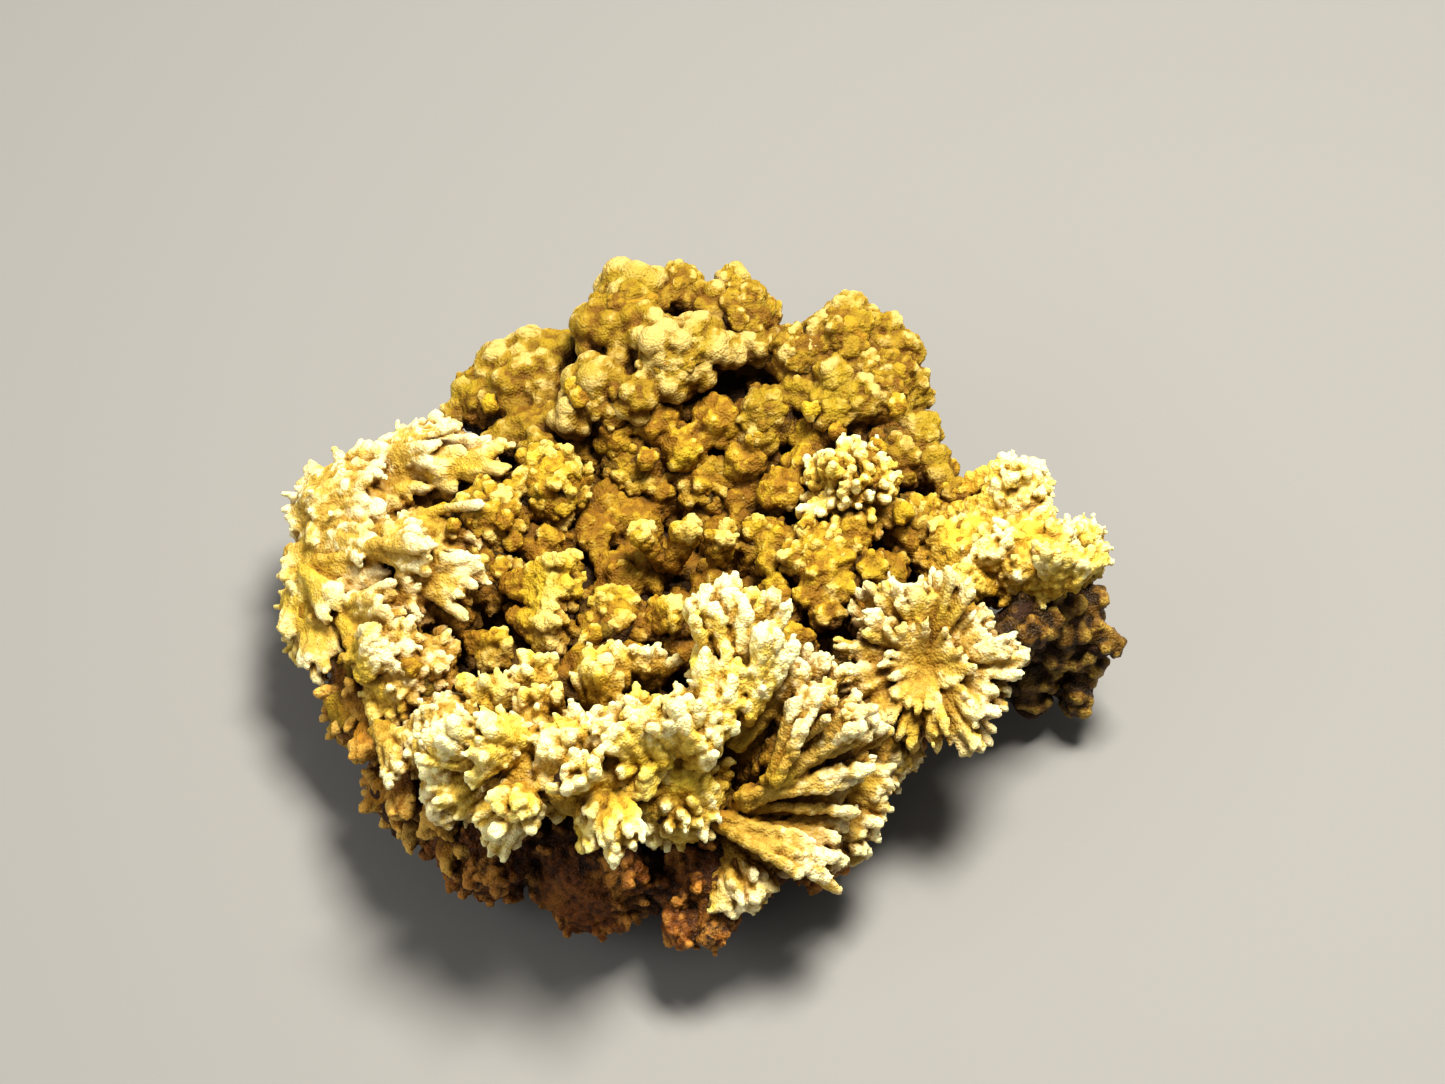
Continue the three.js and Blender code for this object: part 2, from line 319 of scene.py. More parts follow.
def mixed(tree, share, one, other):
    """Colour one where share is 0 and the other where it is 1; each is a socket or r, g, b."""
    return add_node(tree, "ShaderNodeMix", {"Factor": share, "A": one, "B": other},
                    data_type="RGBA")["Result"]


# The colour of the growth: from the colour of the roots through the middle to that of the tips,
# partly the crystals' paler tips and partly painted shade at roots that lie among their
# neighbours;
# paler where it lies open to the sky and browner, then near black, where it lies deep between its
# neighbours, which is painted light and shade; with patches of purer yellow.
YELLOW_CELLS = 0.22              # noise cells a millimetre
YELLOW_SPAN = (0.5, 0.68)
YELLOW_SHARE = 0.75
MOTTLE_CELLS = 1.1
MOTTLE_PUSH = 0.9                # how far mottle, tone and openness push towards the tip's colour
TONE_PUSH = 0.5
# Painted light: a point that lies open to the sky is pushed towards the tip's paler colour.
OPEN_PAINTED_LIGHT = 0.5
OPEN_REST = 0.6
MIDDLE_SPAN = (0.05, 0.55)       # where the root's colour turns to the middle one
TIP_SPAN = (0.6, 1.1)            # and where that turns to the tip's
# Painted shade: an enclosed point takes the deep colour, and the deepest crevices a near-black
# painted shadow.
PAINTED_SHADE_MOTTLE = 0.12
PAINTED_SHADE_SPAN = (0.08, 0.5)          # of openness, where the deep colour ends
PAINTED_CREVICE_SHADOW_SPAN = (0.0, 0.14)
PAINTED_CREVICE_SHADOW_SHARE = 0.75
PAINTED_CREVICE_SHADOW = (0.03, 0.013, 0.002)

COLOUR_GROUP, given, made = new_group(
    "growth_colour",
    dict({"Place": "NodeSocketVector", "Tip": "NodeSocketFloat", "Open": "NodeSocketFloat",
          "Tone": "NodeSocketFloat"},
         **{part + " Colour": "NodeSocketColor"
            for part in ("Root", "Middle", "Tip", "Deep", "Yellow")}),
    "Color", "NodeSocketColor")
tree = COLOUR_GROUP
patches = noise(tree, given["Place"], YELLOW_CELLS, 2)
mottle = noise(tree, given["Place"], MOTTLE_CELLS, 3)
lift = pushed(tree, given["Tip"], mottle, MOTTLE_PUSH)
lift = pushed(tree, lift, given["Tone"], TONE_PUSH)
# Painted light where the point lies open to the sky.
lift = pushed(tree, lift, given["Open"], OPEN_PAINTED_LIGHT, OPEN_REST)
colour = mixed(tree, spread(tree, lift, *MIDDLE_SPAN), given["Root Colour"],
               given["Middle Colour"])
colour = mixed(tree, spread(tree, lift, *TIP_SPAN), colour, given["Tip Colour"])
yellow = spread(tree, patches, *YELLOW_SPAN, 0, YELLOW_SHARE)
colour = mixed(tree, yellow, colour, given["Yellow Colour"])
# Painted shade where the point lies enclosed, then painted shadow in the deepest crevices.
deep = maths(tree, "MULTIPLY_ADD", mottle, PAINTED_SHADE_MOTTLE, given["Open"])
colour = mixed(tree, spread(tree, deep, *PAINTED_SHADE_SPAN, 1, 0), colour, given["Deep Colour"])
colour = mixed(tree, spread(tree, given["Open"], *PAINTED_CREVICE_SHADOW_SPAN, PAINTED_CREVICE_SHADOW_SHARE, 0), colour, PAINTED_CREVICE_SHADOW)
tree.links.new(colour, made)

# Drusy grain: tiny crystals that cover everything, as a height in millimetres.
FACET_CELLS = 5.5
FACET_DEPTH = 0.6
COARSE_CELLS = 2.6

GRAIN_GROUP, given, made = new_group("drusy_grain", {"Place": "NodeSocketVector"},
                                     "Height", "NodeSocketFloat")
tree = GRAIN_GROUP
facets = add_node(tree, "ShaderNodeTexVoronoi", {"Vector": given["Place"], "Scale": FACET_CELLS})
coarse = noise(tree, given["Place"], COARSE_CELLS, 4, 0.7)
tree.links.new(maths(tree, "MULTIPLY_ADD", facets["Distance"], -FACET_DEPTH, coarse), made)

# Glints: a few of the tiny crystals turn a glassy face to the light.
GLINT_CELLS = 3.2
GLINT_CHOSEN = (0.76, 0.8)       # of each cell's random red, so about one in five glints
GLINT_EDGE = (0.12, 0.3)         # of the distance from a cell's middle

GLINT_GROUP, given, made = new_group("glints", {"Place": "NodeSocketVector"},
                                     "Mask", "NodeSocketFloat")
tree = GLINT_GROUP
glassy = add_node(tree, "ShaderNodeTexVoronoi", {"Vector": given["Place"], "Scale": GLINT_CELLS})
split = add_node(tree, "ShaderNodeSeparateColor", {"Color": glassy["Color"]})
chosen = spread(tree, split["Red"], *GLINT_CHOSEN)
near = spread(tree, glassy["Distance"], *GLINT_EDGE, 1, 0)
tree.links.new(maths(tree, "MULTIPLY", chosen, near), made)

FILM_PUSH = 0.9                  # of the film mark on the noise that its patches follow
FILM_SPAN = (0.5, 0.62)
GLASS_ROUGH = 0.08
BUMP_STRENGTH = 0.9
BUMP_DEPTH = 0.2
SHINE = 0.17
GLOW = 0.35
GLOW_COLOUR = (1.0, 0.55, 0.2)
GLOW_REACH = 0.0006              # metres


def growth_material(name, palette, film=None, film_size=0.5, rough=0.62):
    """A crystal finish. The palette's colours and film are linear r, g, b; film, where given, is
    the colour of the oxide or dust that coats the points marked with film, which on the front wall
    is also painted shadow. The palette's deep colour is painted shade, for points that lie
    enclosed."""
    material = bpy.data.materials.new(name)
    material.use_nodes = True
    tree = material.node_tree
    where = add_node(tree, "ShaderNodeTexCoord", {})["Object"]
    place = add_node(tree, "ShaderNodeMapping",
                     {"Vector": where, "Scale": (1000, 1000, 1000)})["Vector"]
    marks = {mark: add_node(tree, "ShaderNodeAttribute", {}, attribute_name=mark)["Fac"]
             for mark in ("tip", "open", "tone", "film")}
    inputs = {part.title() + " Colour": value for part, value in palette.items()}
    inputs.update(Place=place, Tip=marks["tip"], Open=marks["open"], Tone=marks["tone"])
    colour = add_node(tree, "ShaderNodeGroup", inputs, node_tree=COLOUR_GROUP)["Color"]
    if film is not None:
        patch = pushed(tree, noise(tree, place, film_size, 4, 0.7), marks["film"], FILM_PUSH)
        colour = mixed(tree, spread(tree, patch, *FILM_SPAN), colour, film)
    glint = add_node(tree, "ShaderNodeGroup", {"Place": place}, node_tree=GLINT_GROUP)["Mask"]
    grain = add_node(tree, "ShaderNodeGroup", {"Place": place}, node_tree=GRAIN_GROUP)["Height"]
    relief = add_node(tree, "ShaderNodeBump", {
        "Strength": BUMP_STRENGTH, "Distance": BUMP_DEPTH / 1000, "Height": grain})["Normal"]
    set_inputs(tree, tree.nodes["Principled BSDF"], {
        "Base Color": colour, "Roughness": spread(tree, glint, 0, 1, rough, GLASS_ROUGH),
        "Normal": relief, "Specular IOR Level": SHINE, "Subsurface Weight": GLOW,
        "Subsurface Radius": GLOW_COLOUR, "Subsurface Scale": GLOW_REACH})
    return material


# Dark brown for the front wall's growth: partly limonite staining and partly painted shade of the
# lower side. The rock's limonite palette starts from it.
BROWN = dict(root=(0.055, 0.014, 0.002), middle=(0.155, 0.044, 0.003), tip=(0.45, 0.20, 0.030),
             deep=(0.015, 0.004, 0.001), yellow=(0.27, 0.100, 0.006))
LIMONITE = dict(BROWN, middle=(0.40, 0.255, 0.012), root=(0.25, 0.14, 0.005))

filling_middles, filling_radii = laid_out(FILLING)
middles = np.concatenate([MASSES[:, :3], HEAD_MIDDLES, filling_middles])
radii = np.concatenate([HEAD_RADII * CORE_SHARE, filling_radii])
sizes = np.concatenate([MASSES[:, 3:], np.repeat(radii[:, None], 3, 1)])
ball, ball_faces = ball_grid(28, 18)
lumps = (middles[:, None] + ball[None] * sizes[:, None]).reshape(-1, 3)
lump_faces = repeated(ball_faces, len(ball), len(middles))
rock_points, rock_faces, rock_normals = fused(lumps, lump_faces, ROCK_VOXEL)
bumps = sum(height * waves(rock_points, size, seed) for height, size, seed in ROCK_SWELLS)
for pit, radius in zip(PIT_MIDDLES, PIT_RADII):
    near = 1 - (np.linalg.norm(rock_points - pit, axis=1) / (PIT_REACH * radius)) ** 2
    bumps -= PIT_DEPTH / ROCK_ROUGHNESS * np.maximum(near, 0)
bumps += sum(height * (crystals(rock_points, size, seed) - GRAIN_REST)
             for height, size, seed in ROCK_GRAINS)
rock_points = rock_points + rock_normals * ROCK_ROUGHNESS * bumps[:, None]
rest_on_ground(rock_points)
# Fully coated: the rock under the hanging knobs, with oxide, and the front wall's rock, with oxide
# that is partly painted shadow.
coated = (rock_points[:, 0] > HANGING_X) & (rock_points[:, 1] < HANGING_Y)
coated |= rock_points[:, 1] < WALL_Y
# The rock's tip mark follows its bumps: painted light on the swells, painted shade in the pits.
make_piece("rock_core", rock_points, rock_faces,
           dict(tip=ROCK_TIP + ROCK_BUMP_PAINTED_LIGHT * bumps,
                tone=0.5 + 0.5 * waves(rock_points, ROCK_TONE_WAVE, 4),
                film=ROCK_FILM + (1 - ROCK_FILM) * coated),
           growth_material("limonite", LIMONITE, film=(0.035, 0.014, 0.006), rough=0.75))


# --------------------------------------------------
# The left rim: pale fans of mimetite prisms, laid over each other like shingles, with their
# roots at the crest of the rim and their tips towards the hollow. Each prism is coated with
# tiny crystals of its own, and frays into twigs at its tip.
# --------------------------------------------------
TOOTH_FROM = 0.35                # where the first tooth grows and the last, along the rod
TOOTH_TO = 0.97
TOOTH_LEAN = 0.6                 # how far a tooth leans away from its rod,
LEAN_LOW = 1.2                   # times this for the lowest,
LEAN_FALL = 0.6                  # and times so much less for the highest
TOOTH_SHARE = 0.62               # its radius over the rod's
TOOTH_LENGTHS = (0.7, 1.3)       # spans that its length and its thickness are drawn from
TOOTH_THICK = (0.8, 1.2)
TOOTH_STEPS = (0.2, 1)           # and where it stands in its own stretch of the rod
TWIG_ROOT = 0.8                  # how far from root to tip a tooth's root counts, over the rod's
TWIG_TIP = 0.3                   # and how much further its own tip does
ROD_BEND = 0.06                  # how far a rod's tip bends aside, over its length
ROD_FLAT = 1.4                   # its width at the tip over its thickness
ROD_JAG = 0.1                    # how far its edges fall short of the tip, over its length
ROD_POINT = 1.2                  # length of its rounded end, over the end's radius
ROD_FROM = 0.45                  # where the rods of a head start, over its radius
PLEATED_BELOW = np.radians(9)    # a fan that spreads less than this out of its plane is pleated
BURIED_SHARE = 0.9               # of a head's radius, inside which no tip is kept
LOWEST_TIP = 0.5
COPY_SHIFT = 0.7                 # how far copies of a fan lie from it, and turn away from it
COPY_TURN = 0.2
WAY_SPREAD = 0.03                # how far the rods of a fan stray from their ways
WIDE_SPREAD = 0.25               # and their wide sides from the fan's plane
FAN_LENGTHS = (0.78, 1.1)        # spans that their lengths are drawn from
COVER_LENGTHS = (0.88, 1.1)      # and those of the rods round a head
COVER_THICK = (0.75, 1.2)
THICK = (0.75, 1.25)             # span that other thicknesses and radii are drawn from
COVER_SPREAD = 0.12
CLUMP_WAVE = 2.2                 # size of the clumps that rods are longer or shorter in
FLOW_WAVE = 4.0                  # and of those that they lean together in
WIDE_WAVE = 5.0
CORE_TONE = 0.5
CRUST_SHARE = 0.92               # of a head's radius that its growth fills without a gap
CORE_WAVE = 0.35                 # height and size of the waves on that filling
CORE_WAVE_SIZE = 2.4
CORE_TIP = 0.35                  # how far from root to tip it counts as
GRAIN_SIZE = 0.46
# Painted light and shade on the grains: the top of a grain is painted paler and its foot darker.
GRAIN_PAINTED_LIGHT = 0.5                 # how much nearer to the tip the top of a grain counts
CARRY_CELL = 0.45


def crossways(ways):
    """Two unit vectors square to each way and to each other."""
    aside = np.where(np.abs(ways[:, 2:]) < 0.9, [[0, 0, 1]], [[1, 0, 0]])
    first = unit(np.cross(ways, aside))
    return first, np.cross(ways, first)


def rods(starts, ways, lengths, thick, rng, ball=1.0, root_share=1.0, point=1.0, sides=6,
         rings=3, cap_rings=2, grain=0.0, flat=1.0, wide_ways=None, jag=0.0):
    """Rods that end in a ball or a blunt point, all at once. Along a rod, the radius goes in a
    straight line from root_share times thick to thick, and then follows a half oval with ball
    times thick as its radius and point times that as its half length, up to the tip. Its
    section is an oval that widens from round at the root to flat times as wide as thick. The
    middle line bends to one side by the bend times the length times the square of the share of
    the way. Each point then moves by up to grain times the radius, and each edge of the rod
    falls short of the tip by up to jag times the length. Returns points, faces and the share of
    the way from root to tip of each point."""
    count = len(starts)
    one, two = crossways(ways)
    if wide_ways is not None:
        one = unit(wide_ways - ways * (wide_ways * ways).sum(axis=1, keepdims=True) + 1e-6)
        two = np.cross(ways, one)
    head = thick * ball
    begin = np.arcsin(min(1.0, 1.0 / ball))
    cap_angle = np.linspace(begin, np.pi, cap_rings + 1)[:-1]
    cap_angle = np.broadcast_to(cap_angle, (count, cap_rings))
    reach = (head * point)[:, None]
    cap_along = lengths[:, None] - reach - reach * np.cos(cap_angle)
    cap_radius = head[:, None] * np.sin(cap_angle)
    share = np.linspace(0, 1, rings + 1)[:-1]
    stalk_along = cap_along[:, :1] * share
    stalk_radius = thick[:, None] * (root_share + (1 - root_share) * share)
    along = np.concatenate([stalk_along, cap_along], axis=1)
    radius = np.concatenate([stalk_radius, cap_radius], axis=1)
    total = rings + cap_rings
    turn = 2 * np.pi * (np.arange(sides)[None, :] + 0.5 * (np.arange(total)[:, None] % 2)) / sides
    swing = rng.uniform(0, 2 * np.pi, count)
    aside = (one * np.cos(swing)[:, None] + two * np.sin(swing)[:, None]) * ROD_BEND
    part = along / lengths[:, None]
    middle = (starts[:, None] + ways[:, None] * along[..., None]
              + aside[:, None] * (along * part)[..., None])
    rough = radius[..., None] * (1 + grain * rng.uniform(-1, 1, (count, total, sides)))
    broad = rough * (1 + (flat - 1) * part[..., None])
    body = (middle[:, :, None]
            + one[:, None, None] * (np.cos(turn)[None] * broad)[..., None]
            + two[:, None, None] * (np.sin(turn)[None] * rough)[..., None])
    slip = grain * thick[:, None, None] * rng.uniform(-1, 1, (count, total, sides))
    slip = slip - jag * along[..., None] * part[..., None] * rng.uniform(0, 1, (count, 1, sides))
    body = body + ways[:, None, None] * slip[..., None]
    ends = np.stack([starts, starts + (ways + aside) * lengths[:, None]], axis=1)
    points = np.concatenate([body.reshape(count, -1, 3), ends], axis=1)
    faces = repeated(tube_faces(sides, total)[:, ::-1], points.shape[1], count)
    tip = np.repeat(part, sides, axis=1)
    tip = np.concatenate([tip, np.tile([0.0, 1.0], (count, 1))], axis=1)
    return points.reshape(-1, 3), faces, tip.ravel()


def fan_ways(way, wide_axis, wide, deep, count):
    """Ways of the rods of a fan about its middle way, up to wide along wide_axis and up to deep
    square to it. A thin fan is pleated: even steps across it, by turns deep to one side and to
    the other. In any other, the ways spread evenly over an oval cone: the angle from the middle
    way grows with the square root of the number, a golden turn at each step."""
    way = unit(way)
    wide_axis = unit(wide_axis - way * (wide_axis @ way))
    other = np.cross(way, wide_axis)
    if deep < PLEATED_BELOW:
        across = np.linspace(-wide, wide, count)[:, None]
        pleat = (deep * (-1.0) ** np.arange(count))[:, None]
        return unit(way + wide_axis * np.tan(across) + other * np.tan(pleat))
    steps = np.arange(count) + 0.5
    along, beside = wide * np.cos(GOLDEN_TURN * steps), deep * np.sin(GOLDEN_TURN * steps)
    lean = np.sqrt(steps / count) * np.hypot(along, beside)
    heading = np.arctan2(beside, along)
    sideways = wide_axis * np.cos(heading)[:, None] + other * np.sin(heading)[:, None]
    return way * np.cos(lean)[:, None] + sideways * np.sin(lean)[:, None]


def head_distance(points):
    """Each point's distance from the middle of each head, over that head's radius."""
    return np.linalg.norm(points[:, None] - HEAD_MIDDLES[None], axis=2) / HEAD_RADII


def buried(tips):
    """Whether a tip is inside a head, a mass of rock or a pit, or under the flat."""
    in_mass = (((tips[:, None] - MASSES[None, :, :3]) / MASSES[None, :, 3:]) ** 2).sum(axis=2) < 1
    in_pit = np.linalg.norm(tips[:, None] - PIT_MIDDLES[None], axis=2) < PIT_RADII
    in_head = (head_distance(tips) < BURIED_SHARE).any(axis=1)
    return in_head | in_mass.any(axis=1) | in_pit.any(axis=1) | (tips[:, 2] < LOWEST_TIP)


def teeth(starts, ways, lengths, thick, count, reach, rng):
    """Short twigs along rods, count to a rod: each starts on the rod's middle line, from a third
    of the way up to its tip, and leans forwards and out of it to a side of its own. Returns
    each twig's rod, start, way, length, thickness and place along the rod."""
    many = np.repeat(np.arange(len(starts)), count)
    step = np.tile(np.arange(count), len(starts)) + rng.uniform(*TOOTH_STEPS, len(many))
    step = step / count
    at = TOOTH_FROM + (TOOTH_TO - TOOTH_FROM) * step
    one, two = crossways(ways[many])
    side = rng.uniform(0, 2 * np.pi, len(many))[:, None]
    lean = TOOTH_LEAN * (LEAN_LOW - LEAN_FALL * step)[:, None]
    tooth_ways = unit(ways[many] + (one * np.cos(side) + two * np.sin(side)) * lean)
    roots = starts[many] + ways[many] * (lengths[many] * at)[:, None]
    long = thick[many] * reach * rng.uniform(*TOOTH_LENGTHS, len(many))
    thin = thick[many] * TOOTH_SHARE * rng.uniform(*TOOTH_THICK, len(many))
    return many, roots, tooth_ways, long, thin, at


def head_balls(heads, share):
    """Lumpy balls that fill heads up to a share of their radius: points and faces."""
    middle, radius = laid_out(heads)
    points = (middle[:, None] + ball * (radius * share)[:, None, None]).reshape(-1, 3)
    out = np.tile(ball, (len(heads), 1))
    points = points + out * (CORE_WAVE * waves(points, CORE_WAVE_SIZE, 7))[:, None]
    return points, repeated(ball_faces, len(ball), len(heads))


def joined(shapes):
    """Shapes, each given as faces, points and then any values a point, made one."""
    faces, points, *values = zip(*shapes)
    before = np.cumsum([0] + [len(each) for each in points])
    faces = np.concatenate([each + first for each, first in zip(faces, before)])
    return faces, np.concatenate(points), *(np.concatenate(each) for each in values)


def carried(values, old, new):
    """A value known at old points, at new points: the mean over the cubic cell that each new
    point lies in, where empty cells take the mean of the cells around them, three times over."""
    low = np.minimum(old.min(axis=0), new.min(axis=0)) - 4 * CARRY_CELL
    high = np.maximum(old.max(axis=0), new.max(axis=0))
    shape = ((high - low) / CARRY_CELL).astype(int) + 5

    def keys(points):
        return np.ravel_multi_index(((points - low) / CARRY_CELL).astype(int).T, shape)

    count = np.bincount(keys(old), minlength=shape.prod()).reshape(shape).astype(float)
    total = np.bincount(keys(old), values, minlength=shape.prod()).reshape(shape)
    for _ in range(3):
        empty = count == 0
        around = [np.roll(grid, step, axis) for grid in (total, count)
                  for axis in range(3) for step in (-1, 1)]
        total = np.where(empty, sum(around[:6]), total)
        count = np.where(empty, sum(around[6:]), count)
    return (total / np.maximum(count, 1)).ravel()[keys(new)]


def crust(name, points, faces, marks, material, seed, voxel, grains, film, ways=None,
          stroke=1.0):
    """A piece of growth: closed shapes that fuse where they meet, and then carry a crust of
    grains, which stand out along the normal by the height of crystals() times grains. With a
    stroke over one, the grains are that much longer along the ways."""
    new, new_faces, normals = fused(points, faces, voxel)
    marks = {mark: carried(values, points, new) for mark, values in marks.items()}
    strokes = None
    if stroke > 1:
        strokes = np.stack([carried(part, points, new) for part in ways.T], axis=1)
    height = crystals(new, GRAIN_SIZE, seed, strokes, stroke) - 0.5
    new = new + normals * (grains * height)[:, None]
    rest_on_ground(new)
    # Painted light on the tops of the grains and painted shade at their feet.
    marks["tip"] = marks["tip"] + GRAIN_PAINTED_LIGHT * height
    marks["film"] = np.full(len(new), film)
    make_piece(name, new, new_faces, marks, material)


def grow(name, fans, cover, material, seed, cores=(), copies=1, ball=1.0, sides=7, rings=4,
         grain=0.15, root_share=0.85, tooth_count=3, tooth_reach=2.2, scatter=0.2, voxel=0.17,
         grains=0.42, stroke=1.0, film=0.0):
    """A piece made of the rods of fans, the rods in cover, which are given as starts, ways,
    lengths, thicknesses and wide ways, and balls that fill the heads in cores. A fan is across,
    up and height of its root, the angle it points at on the display face, its lift out of the
    face, how far it spreads on the face and out of it (all in degrees), the length and the
    radius of its rods, and how many there are. Copies of the fans differ in place and way."""
    rng = np.random.default_rng(seed)
    parts = list(cover)
    stray = copies > 1
    for across, up, height, angle, lift, wide, deep, length, radius, count in fans * copies:
        shift = rng.normal(0, COPY_SHIFT, 3) * stray
        across, up, height = np.array([across, up, height]) + shift
        angle, lift, wide, deep = np.radians([angle, lift, wide, deep])
        angle, lift = np.array([angle, lift]) + rng.normal(0, COPY_TURN, 2) * stray
        on = ACROSS * np.cos(angle) + UP_FACE * np.sin(angle)
        sideways = -ACROSS * np.sin(angle) + UP_FACE * np.cos(angle)
        way = fan_ways(on * np.cos(lift) + TO_EYE * np.sin(lift), sideways, wide, deep, count)
        way = unit(way + rng.normal(0, WAY_SPREAD, way.shape))
        root = on_face(across, up, height) + rng.normal(0, scatter, way.shape)
        parts.append((root, way, length * rng.uniform(*FAN_LENGTHS, count),
                      radius * rng.uniform(*THICK, count),
                      sideways + rng.normal(0, WIDE_SPREAD, way.shape)))
    parts = [np.concatenate(part) for part in zip(*parts)]
    kept = ~buried(parts[0] + parts[1] * parts[2][:, None])
    starts, ways, lengths, thick, wides = (part[kept] for part in parts)
    tone = rng.uniform(0, 1, len(starts))
    points, faces, tip = rods(starts, ways, lengths, thick, rng, ball, root_share, ROD_POINT,
                              sides, rings, grain=grain, flat=ROD_FLAT, wide_ways=wides,
                              jag=ROD_JAG)
    each = len(points) // len(starts)
    shapes = [(faces, points, tip, np.repeat(tone, each), np.repeat(ways, each, axis=0))]
    many, *twigs, at = teeth(starts, ways, lengths, thick, tooth_count, tooth_reach, rng)
    points, faces, tip = rods(*twigs, rng, root_share=0.9, point=1.0, sides=5, rings=1,
                              cap_rings=1, grain=grain)
    each = len(points) // len(many)
    shapes.append((faces, points, np.repeat(at, each) * TWIG_ROOT + TWIG_TIP * tip,
                   np.repeat(tone[many], each), np.repeat(twigs[1], each, axis=0)))
    if len(cores):
        points, faces = head_balls(cores, CRUST_SHARE)
        shapes.append((faces, points, np.full(len(points), CORE_TIP),
                       np.full(len(points), CORE_TONE), np.zeros((len(points), 3))))
    faces, points, tip, tone, ways = joined(shapes)
    crust(name, points, faces, dict(tip=tip, tone=tone), material, seed, voxel, grains, film,
          ways, stroke)


def wave_ways(points, size, seed):
    """A smooth random vector at each point: a noise of its own for each of x, y and z."""
    return np.stack([waves(points, size, seed + k) for k in range(3)], axis=1)


def covering(heads, count, rise, radius, seed, flow=0.5, clump=0.22):
    """Rods that stand all round the heads, evenly spread, then drawn into clumps that lean
    together: smooth noise turns their ways by up to flow, and makes them longer and shorter by
    up to the share clump. Their tips stand out of the head by rise times its radius. Returns
    starts, ways, lengths, thicknesses and wide ways."""
    rng = np.random.default_rng(seed)
    stray = rng.normal(0, COVER_SPREAD, (len(heads), count, 3))
    ways = unit(even_directions(count)[None] + stray).reshape(-1, 3)
    middle, radii = laid_out(heads)
    size = np.repeat(radii, count)
    starts = np.repeat(middle, count, axis=0) + ways * (size * ROD_FROM)[:, None]
    tips = starts + ways * (size * (1 - ROD_FROM))[:, None]
    lengths = size * (1 + rise - ROD_FROM) * (1 + clump * waves(tips, CLUMP_WAVE, seed + 200))
    lengths = lengths * rng.uniform(*COVER_LENGTHS, len(size))
    thick = radius * rng.uniform(*COVER_THICK, len(size))
    ways = unit(ways + flow * wave_ways(tips, FLOW_WAVE, seed + 100))
    return starts, ways, lengths, thick, wave_ways(tips, WIDE_WAVE, seed + 300)


# Fans of the rim, from its upper end round to its lower end.
RIM_FANS = [
    [-22.2, 8.6, 9.5, -12, 20, 20, 10, 6.5, 0.29, 15],
    [-19.5, 9.3, 10.5, -10, 25, 20, 10, 6, 0.29, 15],
    [-20.8, 8.6, 9.4, 70, 10, 40, 10, 2.2, 0.22, 20],
    [-17.5, 10.6, 9.5, 60, 10, 40, 10, 2.2, 0.22, 20],
    [-22, 8.5, 10, -38, 35, 18, 10, 5.6, 0.29, 15], [-24.4, 7, 9.3, 5, 30, 22, 10, 4.8, 0.29, 13],
    [-24.4, 6.4, 8.8, -70, 25, 22, 10, 3.6, 0.29, 13],
    [-23.2, 6.6, 8.4, 130, 5, 50, 12, 1.6, 0.22, 20],
    [-23.6, 6, 10.4, -25, 30, 18, 10, 4.4, 0.29, 13],
    [-24.6, 4.6, 9.4, -8, 25, 18, 10, 7, 0.29, 15],
    [-23.6, 3.4, 9.6, -16, 30, 18, 10, 5.6, 0.29, 15],
    [-24, 2.6, 8, -140, 10, 50, 12, 1.6, 0.22, 20], [-24, 2.2, 9, -45, 30, 22, 10, 4, 0.29, 13],
    [-24.6, -0.4, 7.6, -85, 15, 30, 10, 2.8, 0.22, 22],
    [-23.4, 0, 8.4, -60, 30, 22, 10, 3.6, 0.29, 13],
    [-22.4, -0.6, 9.6, -6, 30, 22, 10, 6.6, 0.29, 15],
    [-22.2, -1, 9.6, -36, 35, 20, 10, 5.6, 0.29, 15], [-17, 6, 12, -20, 30, 22, 10, 5.4, 0.29, 15],
    [-18.5, 3.4, 11.8, -18, 25, 22, 10, 5, 0.29, 13],
    [-20, 0.6, 10.6, 10, 35, 30, 8, 4.4, 0.22, 22],
    [-16.5, 9.6, 10.6, -6, 30, 22, 10, 5.2, 0.29, 15],
]
STRAW = dict(root=(0.35, 0.200, 0.013), middle=(0.54, 0.360, 0.062), tip=(0.91, 0.81, 0.44),
             deep=(0.24, 0.105, 0.004), yellow=(0.60, 0.42, 0.035))
STRAW_FINISH = growth_material("straw_mimetite", STRAW)
grow("left_rim_fans", RIM_FANS, [covering(LEFT_RIM, 110, rise=0.0, radius=0.27, seed=12)],
     STRAW_FINISH, seed=11, cores=LEFT_RIM, copies=3, voxel=0.185, grains=0.27, stroke=2.4)


# --------------------------------------------------
# The left flank: below the rim the fans hang down like fingers. The crest is pale, and under
# it the rods are honey brown, which is painted shade: a darker copy of the pale colours for the
# side that faces down. There is iron between them.
# --------------------------------------------------
CREST_FANS = [
    [-21.5, -2.5, 10, -20, 30, 20, 10, 5, 0.3, 20], [-20, -4.5, 10, -30, 35, 22, 10, 4.4, 0.3, 20],
    [-18.5, -6.6, 11, -35, 40, 24, 12, 4, 0.3, 20], [-17, -8, 11, -30, 45, 26, 12, 3.6, 0.3, 18],
    [-15, -9.6, 12, -60, 40, 28, 14, 3.6, 0.3, 18],
    [-13.6, -11, 11.5, -100, 35, 28, 14, 3.4, 0.3, 18],
    [-19.4, -4, 11, 60, 40, 24, 12, 2.8, 0.3, 16],
]
grow("flank_crest", CREST_FANS,
     [covering(LEFT_FLANK[2:], 170, rise=0.06, radius=0.3, seed=58)], STRAW_FINISH, seed=57,
     cores=LEFT_FLANK[2:], copies=2, ball=1.15, tooth_reach=1.6, voxel=0.18)
FLANK_HEADS = [[-19.5, -6, 6.5, 3.6], [-16.8, -11, 5.5, 3.6]]
